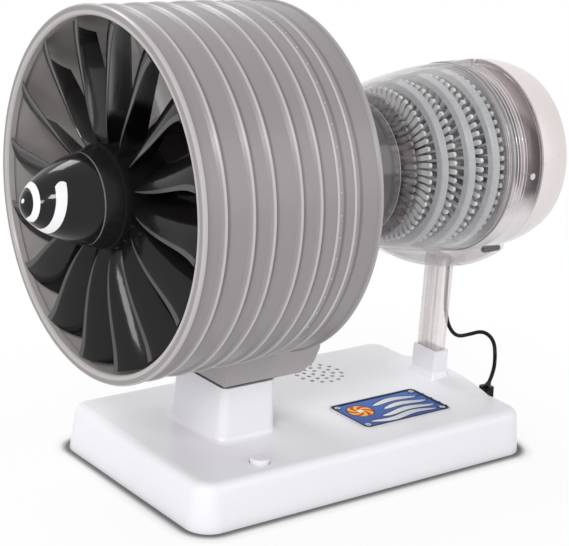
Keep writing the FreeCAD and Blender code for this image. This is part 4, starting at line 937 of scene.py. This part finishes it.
@dataclass
class Badge:
    """Printed plate on the deck: pale rim, dark border, blue field and an air-flow motif."""

    model: Model
    middle: Span = (44.0, -30.0)
    length: float = 68.0
    width: float = 38.0
    corner: float = 4.5
    rim_width: float = 1.0
    border_depth: float = 3.2
    rim: Colour = tone("D9DADF")
    border: Colour = tone("232B4A")
    low_blue: Colour = tone("2B4E9C")
    high_blue: Colour = tone("3E6FC4")
    ink: Colour = tone("1E2748")
    white: Colour = tone("F3F3F6")
    mist: Colour = tone("C3C9D6")
    yellow: Colour = tone("F2C230")
    red: Colour = tone("D6392C")
    rivet: Colour = tone("D4D6DC")
    rivet_slot: Colour = tone("4A5068")
    rivet_inset: float = 4.9
    rivet_ring: float = 2.4
    rivet_head: Span = (1.9, 1.75)
    slot_half: float = 0.45
    slot_reach: float = 1.3
    wave: Span = (0.16, 1.5)
    stream_half: float = 2.5
    stream_line: float = 0.7
    stream_inset: float = 0.2
    stream_taper: float = 0.45
    streams: Tuple[Point, ...] = (
        (9.0, -7.0, 27.0),
        (1.5, -4.0, 28.5),
        (-6.0, -12.0, 28.5),
        (-12.0, -24.0, 25.0),
    )
    wheel: Span = (-19.5, 4.5)
    wheel_radius: float = 8.0
    wheel_line: float = 0.8
    hub_radius: float = 2.0
    vane_pitch: float = 60.0
    vane_sweep: float = 9.0

    def build(self) -> None:
        """Dress the plate."""
        graph = Graph.named("badge_print")
        sheet = Print(graph, self.middle, self.rim)
        depth = -outside_plate(sheet.along, sheet.across, self.length, self.width, self.corner)
        sheet.lay(depth.over(self.rim_width), self.border)
        shade = (sheet.across / self.width + 0.5 + (graph.noise(60.0) - 0.5) * 0.3).clip()
        sheet.lay(depth.over(self.border_depth), graph.mix(shade, self.low_blue, self.high_blue))
        self._streams(sheet)
        self._wheel(sheet)
        self._rivets(sheet)
        sockets = {
            "Base Color": sheet.colour,
            "Roughness": graph.gloss(0.3, 0.1, 120.0),
            "Specular IOR Level": 0.08,
            "Normal": graph.bump(graph.noise(1800.0, 2.0), 0.004),
        }
        self.model.dress(graph.finish(graph.plastic(sockets)), "badge_plate")

    def _streams(self, sheet: Print) -> None:
        """Print pale tapered streamlines, each given by its level, start and end.

        Args:
            sheet: The plate's print.
        """
        swing = (sheet.along * self.wave[0]).sine() * self.wave[1]
        for level, start, end in self.streams:
            share = (sheet.along - start) / (end - start)
            half = (share * (1 - share) * 4).high(0.0) ** self.stream_taper * self.stream_half
            miss = abs(sheet.across - swing - level)
            line = (half + self.stream_line - miss).over(0.0)
            sheet.lay(line * share.ease(0.0, 0.01), self.ink)
            pale = sheet.graph.mix(share.clip(), self.white, self.mist)
            sheet.lay((half - self.stream_inset - miss).over(0.0), pale)

    def _wheel(self, sheet: Print) -> None:
        """Print a red and yellow wheel of curved vanes at the field's upper left.

        Args:
            sheet: The plate's print.
        """
        right = sheet.along - self.wheel[0]
        up = sheet.across - self.wheel[1]
        reach = right.length(up)
        vanes = (up.angle(right) + reach * self.vane_sweep).wrap(self.vane_pitch)
        disc = sheet.graph.mix(vanes.over(self.vane_pitch / 2, 1.0), self.yellow, self.red)
        sheet.lay(reach.under(self.wheel_radius + self.wheel_line), self.ink)
        sheet.lay(reach.under(self.wheel_radius), disc)
        sheet.lay(reach.under(self.hub_radius), self.white)

    def _rivets(self, sheet: Print) -> None:
        """Print a pale rivet head in each corner, with a dark outline and a slot.

        Args:
            sheet: The plate's print.
        """
        right = abs(sheet.along) - (self.length / 2 - self.rivet_inset)
        up = abs(sheet.across) - (self.width / 2 - self.rivet_inset)
        reach = right.length(up)
        sheet.lay(reach.under(self.rivet_ring), self.ink)
        sheet.lay(reach.ease(*self.rivet_head), self.rivet)
        slot = abs(right + up).under(self.slot_half) * reach.under(self.slot_reach)
        sheet.lay(slot, self.rivet_slot)


# ---- The duct and the fan ----
@dataclass
class Duct:
    """Ribbed grey duct, its saddle and the guide vanes."""

    model: Model
    pip_station: float = -0.0638
    pip_circle: float = 0.0978
    pip_count: int = 53
    pip_size: float = 0.0006
    saddle: Moulding = Moulding(
        "saddle_grey",
        tone("B0ABAC"),
        0.3,
        mottle=0.0,
        uneven=0.03,
        grain=0.03,
        grain_scale=45.0,
        coat=0.1,
        coat_roughness=0.12,
        # Painted shadow: black below the line where the saddle's foot sits in the pedestal.
        edge=Edge((0.02, 0.02, 0.02), Axis.UP, (59.95, 59.75)),
    )

    def build(self) -> None:
        """Dress the grey mouldings and set the row of pips on the duct."""
        self.model.dress(DuctPlastic().build(), "fan_duct")
        self.model.dress(self.saddle.build(), "duct_saddle")
        vanes = ClearMoulding("vane_clear", tone("CBC7C5"), haze=0.45, edge=0.5, falloff=1.6)
        self.model.dress(vanes.build(), "guide_vanes")
        self._pips(Moulding("pip_pale", tone("B4AFAF"), 0.3, mottle=0.02).build())

    def _pips(self, finish: Material) -> None:
        """Small domes round the front of a band of the duct.

        Args:
            finish: Material of the domes.
        """
        work = bmesh.new()
        for number in range(self.pip_count):
            angle = 2 * math.pi * number / self.pip_count
            outward = Vector((0, math.cos(angle), math.sin(angle)))
            centre = Vector((self.pip_station, 0, AXIS_HEIGHT)) + outward * self.pip_circle
            spot = Matrix.Translation(centre)
            bmesh.ops.create_icosphere(work, subdivisions=2, radius=self.pip_size, matrix=spot)
        piece = mesh_piece("duct_pips", work, finish, smooth=True)
        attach(piece, "stand")
        LOG.info("set %d pips", self.pip_count)


@dataclass
class Fan:
    """Black fan with its painted nose."""

    model: Model

    def build(self) -> None:
        """Dress the fan and the nose."""
        self.model.dress(FanPlastic().build(), "fan_rotor")
        self.model.dress(SpinnerPaint().build(), "spinner")


# ---- The core ----
@dataclass(frozen=True)
class BladeRow:
    """One rotor row of the core: a rim on a web and a boss, with slim rods that stand out to the casing."""

    number: int
    front: float
    rear: float
    slot: RowSlot = RowSlot.PALE
    count: int = 60
    depth: float = 1.9
    half_root: float = 0.95
    half_tip: float = 1.6
    edge: float = 0.3
    tip_gap: float = 2.35
    tip_steps: int = 6
    rim_gap: float = 1.2
    rim_share: float = 0.64
    rim_thick: float = 2.0
    web: float = 2.0
    boss: float = 6.0
    bore: float = 3.0
    segments: int = 96

    def build(self, finish: Material) -> None:
        """Make the row in place of its plain node.

        Args:
            finish: Material of the row.
        """
        node = "compressor_disc_%d" % self.number
        rim = (CASING.inside((self.front + self.rear) / 2) - self.rim_gap) * self.rim_share
        work = bmesh.new()
        self._turn(work, self._profile(rim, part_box(node)[1][0] / MM))
        for number in range(self.count):
            self._rod(work, 2 * math.pi * number / self.count, rim - self.rim_thick / 2)
        bmesh.ops.recalc_face_normals(work, faces=work.faces)
        piece = mesh_piece("blade_row_%d" % self.number, work, finish, smooth=False)
        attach(piece, "rotor")
        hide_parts(node)
        LOG.info("built row %d with %d rods", self.number, self.count)

    def _profile(self, rim: float, end: float) -> Sequence[Span]:
        """Closed outline of the rim, web and boss as stations and radii.

        Args:
            rim: Outer radius of the rim.
            end: Station where the boss ends.

        Returns:
            The corners in order.
        """
        inside = rim - self.rim_thick
        middle = (self.front + self.rear) / 2
        ahead = middle - self.web / 2
        behind = middle + self.web / 2
        return (
            (self.front, rim),
            (self.rear, rim),
            (self.rear, inside),
            (behind, inside),
            (behind, self.boss),
            (end, self.boss),
            (end, self.bore),
            (self.front, self.bore),
            (self.front, self.boss),
            (ahead, self.boss),
            (ahead, inside),
            (self.front, inside),
        )

    def _turn(self, work: Work, profile: Sequence[Span]) -> None:
        """Turn a closed outline about the engine's axis.

        Args:
            work: Mesh of the row.
            profile: Stations and radii of the outline's corners.
        """
        rounds = []
        for number in range(self.segments):
            angle = 2 * math.pi * number / self.segments
            rounds.append([work.verts.new(self._point(x, radius, 0.0, angle)) for x, radius in profile])
        for near, far in zip(rounds, rounds[1:] + rounds[:1]):
            self._skin(work, near, far)

    def _rod(self, work: Work, angle: float, foot: float) -> None:
        """Add one rod with a rounded tip and softened edges.

        Args:
            work: Mesh of the row.
            angle: Place round the axis, in radians.
            foot: Radius where the rod starts, inside the rim.
        """
        loops = []
        start = self.rear - self.depth
        stations = (start, start + self.edge, self.rear - self.edge, self.rear)
        for station, inset in zip(stations, (self.edge, 0.0, 0.0, self.edge)):
            outline = self._outline(foot, inset)
            loops.append([work.verts.new(self._point(station, *spot, angle)) for spot in outline])
        for near, far in zip(loops, loops[1:]):
            self._skin(work, near, far)
        work.faces.new(loops[0])
        work.faces.new(loops[-1])

    def _outline(self, foot: float, inset: float) -> Sequence[Span]:
        """Outline of a rod as radii and offsets to the side.

        Args:
            foot: Radius where the rod starts.
            inset: How far the outline is drawn in.

        Returns:
            The points in order.
        """
        half = self.half_tip - inset
        shoulder = CASING.inside(self.rear) - self.tip_gap - inset - half
        turns = [math.pi * step / self.tip_steps for step in range(self.tip_steps + 1)]
        crown = [(shoulder + half * math.sin(turn), -half * math.cos(turn)) for turn in turns]
        return [(foot, -(self.half_root - inset)), *crown, (foot, self.half_root - inset)]

    @staticmethod
    def _skin(work: Work, near: Loop, far: Loop) -> None:
        """Join two closed loops of the same length with faces."""
        for corners in zip(near, near[1:] + near[:1], far[1:] + far[:1], far):
            work.faces.new(corners)

    @staticmethod
    def _point(station: float, reach: float, aside: float, angle: float) -> Point:
        """Work out a point's place in metres.

        Args:
            station: Its place along the engine's axis.
            reach: Its distance from the axis, before the offset.
            aside: Its offset to the side.
            angle: Its place round the axis, in radians.

        Returns:
            The place in the model's frame.
        """
        across = reach * math.cos(angle) - aside * math.sin(angle)
        rise = reach * math.sin(angle) + aside * math.cos(angle)
        return station * MM, across * MM, rise * MM + AXIS_HEIGHT


@dataclass
class Core:
    """Clear casing with the rows inside it, the rear case and the pearl nozzle."""

    model: Model
    rows: Tuple[BladeRow, ...] = (
        BladeRow(1, 29.0, 36.5, RowSlot.SHADED),
        BladeRow(2, 40.8, 45.8),
        BladeRow(3, 57.0, 61.8),
        BladeRow(4, 75.3, 80.2),
        BladeRow(5, 91.6, 95.7),
    )
    casing_lines: Tuple[float, ...] = (95.9, 97.0)
    case_beads: Tuple[float, ...] = (97.9, 99.3, 100.6, 102.4, 104.4, 107.0, 109.2, 121.9)
    plain: Dressing = (
        (
            Moulding(
                "cowl_grey",
                tone("443E40"),
                0.16,
                mottle=0.03,
                uneven=0.04,
                grain=0.02,
                grain_scale=50.0,
                coat=0.5,
                coat_roughness=0.06,
                specular=0.6,
                # Painted highlight: a pale line along the cowl's rear rim.
                edge=Edge(tone("C9C6CC"), Axis.ALONG, (26.4, 26.7), 0.7),
            ),
            ("core_cowl", "gear_plate"),
        ),
        (
            Moulding(
                "nozzle_pearl",
                tone("E7DEDD"),
                0.28,
                mottle=0.0075,
                uneven=0.03,
                coat=0.4,
                edge=Edge(tone("554C4D"), Axis.ALONG, (122.7, 122.6), 0.7),
            ),
            ("exhaust_nozzle",),
        ),
        (
            Moulding("ring_pale", tone("C2C6C9"), 0.36, mottle=0.04, grain=0.008),
            ("stator_ring_1", "stator_ring_2", "stator_ring_3"),
        ),
        (Moulding("turbine_grey", tone("9A9695"), 0.3, mottle=0.04), ("turbine_disc",)),
        (Moulding("cone_grey", tone("8E8A88"), 0.32, mottle=0.04), ("tail_cone",)),
        (Moulding("clip_dark", (0.09, 0.087, 0.09), 0.2, coat=0.4), ("case_clips",)),
        (Moulding("lamp_red", (0.6, 0.03, 0.02), 0.1, coat=0.5), ("combustor_lamps",)),
        (
            Moulding("bearing_bronze", (0.45, 0.27, 0.12), 0.35, metallic=1.0),
            ("front_bearing", "rear_bearing"),
        ),
        (Moulding("shaft_steel", (0.55, 0.55, 0.56), 0.25, metallic=1.0), ("rotor_shaft",)),
        (Moulding("motor_steel", (0.6, 0.6, 0.61), 0.3, metallic=1.0), ("motor_can",)),
        (Moulding("gear_white", tone("E6E3DA"), 0.4), ("drive_gear",)),
        (Moulding("gear_brass", (0.6, 0.42, 0.16), 0.3, metallic=1.0), ("motor_pinion",)),
    )

    def build(self) -> None:
        """Dress the core from the cowl to the exhaust and build its rows."""
        self.model.dress(BulkheadPlastic().build(), "rear_bulkhead")
        self.model.dress(LinerPlating().build(), "combustor_liner")
        self.model.dress_plain(self.plain)
        self._rows()
        self._clear()

    def _rows(self) -> None:
        """Build the bladed rows in their two tones."""
        finishes = {
            # The first row's colours are a darker copy of the pale rows' colours: painted shade on the row
            # just behind the cowl.
            RowSlot.SHADED: RowPlastic(RowSlot.SHADED, tone("847A80"), tone("1E191B")).build(),
            RowSlot.PALE: RowPlastic(RowSlot.PALE, tone("ECEFEF"), tone("403D3E")).build(),
        }
        for row in self.rows:
            row.build(finishes[row.slot])

    def _clear(self) -> None:
        """Dress the clear casing, rear case, fairing and post."""
        casing = ClearMoulding(
            "casing_clear",
            tone("E8E4E5"),
            haze=0.045,
            edge=0.85,
            falloff=3.2,
            lines=self.casing_lines,
            seam=True,
            streaks=0.3,
            streak_run=(0.1, 1.0, 1.0),
        )
        case = ClearMoulding(
            "case_clear",
            tone("F2ECEE"),
            haze=0.02,
            edge=0.5,
            falloff=3.6,
            lines=self.case_beads,
            line_share=0.6,
            # Painted reflection of the floor on the case's belly.
            belly=0.85,
        )
        fairing = ClearMoulding("fairing_clear", tone("DED6D7"), haze=0.14, edge=0.7, falloff=2.4)
        post = ClearMoulding("post_clear", tone("F6EEED"), haze=0.27, edge=0.6, falloff=1.8, streaks=0.9)
        self.model.dress(casing.build(), "casing_left", "casing_right")
        self.model.dress(case.build(), "combustor_case")
        self.model.dress(fairing.build(), "belly_fairing")
        self.model.dress(post.build(), "rear_post", "lead_grommet")


# ---- The lead ----
@dataclass
class Lead:
    """Black lead from the belly of the core to the angled plug behind the base."""

    model: Model
    diameter: float = 0.0025
    length: float = 0.114
    route: Tuple[Point, ...] = (
        (104.2, -5.4, 105.0),
        (104.3, -5.4, 86.0),
        (105.5, -5.7, 72.0),
        (109.6, -6.0, 60.6),
        (117.4, -6.0, 53.3),
        (126.8, -6.6, 53.4),
        (136.0, -10.4, 55.8),
        (141.2, -15.6, 50.3),
        (139.8, -19.6, 40.4),
        (134.2, -24.8, 32.8),
        (126.2, -29.3, 28.6),
    )

    def build(self) -> None:
        """Lay the lead along its route and dress the plug."""
        jacket = Moulding("lead_black", (0.006, 0.006, 0.007), 0.2, specular=0.14).build()
        curve = bpy.data.curves.new("lead", "CURVE")
        curve.dimensions = "3D"
        spline = curve.splines.new("NURBS")
        spline.points.add(len(self.route) - 1)
        for point, place in zip(spline.points, self.route):
            point.co = (*[part * MM for part in place], 1.0)
        spline.order_u = 3
        spline.use_endpoint_u = True
        spline.resolution_u = 8
        curve.bevel_depth = self.diameter / 2
        curve.bevel_resolution = 5
        curve.materials.append(jacket)
        piece = add_piece("lead", curve)
        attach(piece, "stand")
        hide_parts("power_lead")
        start = tuple(part * MM for part in self.route[0])
        LOG.info("laid the lead, %.3f m long", self.length)
        self.model.dress(jacket, "lead_plug")


# ---- Camera and light ----
@dataclass(frozen=True)
class View:
    """Camera where the photograph was taken from."""

    azimuth: float = -38.61
    elevation: float = 17.05
    roll: float = 4.08
    distance: float = 0.9483
    target: Point = (-0.01975, 0.0, 0.11179)
    lens: float = 104.92
    sensor: float = 36.0
    nearest: float = 0.05

    def build(self) -> None:
        """Make the camera and point it."""
        turn = math.radians(self.azimuth)
        tilt = math.radians(self.elevation)
        back = Vector((math.sin(turn) * math.cos(tilt), -math.cos(turn) * math.cos(tilt), math.sin(tilt)))
        aimed = back.to_track_quat("Z", "Y").to_matrix().to_4x4()
        leaned = aimed @ Matrix.Rotation(math.radians(self.roll), 4, "Z")
        camera = add_piece("camera", bpy.data.cameras.new("camera"))
        camera.data.lens = self.lens
        camera.data.sensor_width = self.sensor
        camera.data.clip_start = self.nearest
        camera.matrix_world = Matrix.Translation(Vector(self.target) + back * self.distance) @ leaned
        bpy.context.scene.camera = camera


@dataclass(frozen=True)
class SoftBox:
    """Square soft lamp that looks at one point."""

    name: str
    place: Point
    power: float
    size: float
    aim: Point = (0.0, 0.0, 0.12)

    def build(self) -> None:
        """Hang the lamp."""
        lamp = bpy.data.lights.new(self.name, "AREA")
        lamp.energy = self.power
        lamp.size = self.size
        piece = add_piece(self.name, lamp)
        piece.location = self.place
        piece.rotation_euler = (Vector(self.place) - Vector(self.aim)).to_track_quat("Z", "Y").to_euler()


@dataclass(frozen=True)
class Studio:
    """White room: plain floor with soft and painted shadows near the model, pale sky and soft lamps."""

    lamps: Tuple[SoftBox, ...] = (
        SoftBox("key", (-0.95, -0.82, 0.86), 6.0, 0.27),
        SoftBox("side", (-1.22, -0.58, 0.5), 3.1, 0.25),
        SoftBox("fill", (0.75, -0.95, 0.55), 2.2, 0.8),
        SoftBox("back", (0.0, 0.85, 1.25), 5.8, 0.5),
    )
    sky: float = 0.53
    base: Point = (242.0, 144.0, 14.0)
    # Colour of the painted shadow round the base.
    painted_shadow: Colour = (0.2, 0.2, 0.2)
    paper: Colour = (0.93, 0.93, 0.94)
    painted_shadow_fade: Span = (1.0, 7.0)
    near_fade: Span = (2.0, 12.0)
    far_fade: Span = (10.0, 200.0)
    near_share: float = 0.9
    floor_half: float = 6.0
    floor_drop: float = 0.0002

    def build(self) -> None:
        """Make the floor, the sky and the lamps."""
        for lamp in self.lamps:
            lamp.build()
        self._sky()
        self._floor()
        bpy.context.scene.view_settings.view_transform = "Standard"
        LOG.info("lit the room with %d lamps", len(self.lamps))

    def _sky(self) -> None:
        """World that is white to the eye and dimmer as a light."""
        world = bpy.data.worlds.new("studio_sky")
        bpy.context.scene.world = world
        graph = Graph(world)
        sockets = {"Value": graph.eye(), "To Min": self.sky, "To Max": 1.0}
        strength = graph.wire("ShaderNodeMapRange", {}, sockets)
        glow = graph.wire("ShaderNodeBackground", {}, {"Color": (1.0, 1.0, 1.0), "Strength": strength})
        graph.node("ShaderNodeOutputWorld", {}, {0: glow})

    def _floor(self) -> None:
        """Floor with the model's shadow and a painted shadow round the base, plain white farther off."""
        graph = Graph.named("floor_white")
        along, across, _ = graph.place()
        reach = outside_plate(along, across, *self.base)
        # Painted shadow: dark along the base's outline, fading to the floor's colour a few millimetres out.
        shade = graph.mix(reach.ease(*self.painted_shadow_fade), self.painted_shadow, self.paper)
        matt = graph.plastic({"Base Color": shade, "Roughness": 1.0, "Specular IOR Level": 0.0})
        white = graph.wire("ShaderNodeEmission", {}, {"Color": (1.0, 1.0, 1.0), "Strength": 1.0})
        rest = 1 - self.near_share
        share = reach.ease(*self.near_fade) * self.near_share + reach.ease(*self.far_fade) * rest
        shader = graph.wire("ShaderNodeMixShader", {}, {0: share * graph.eye(), 1: matt, 2: white})
        work = bmesh.new()
        bmesh.ops.create_grid(work, x_segments=1, y_segments=1, size=self.floor_half)
        floor = mesh_piece("floor", work, graph.finish(shader), smooth=False)
        floor.location.z = -self.floor_drop


def main() -> None:
    """Build every class in order."""
    logging.basicConfig(level=logging.INFO, format="%(message)s")
    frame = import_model()
    model = Model(frame)
    View().build()
    for part in (Lead, Stand, Badge, Duct, Fan, Core):
        part(model).build()
    Studio().build()


if __name__ == "__main__":
    main()
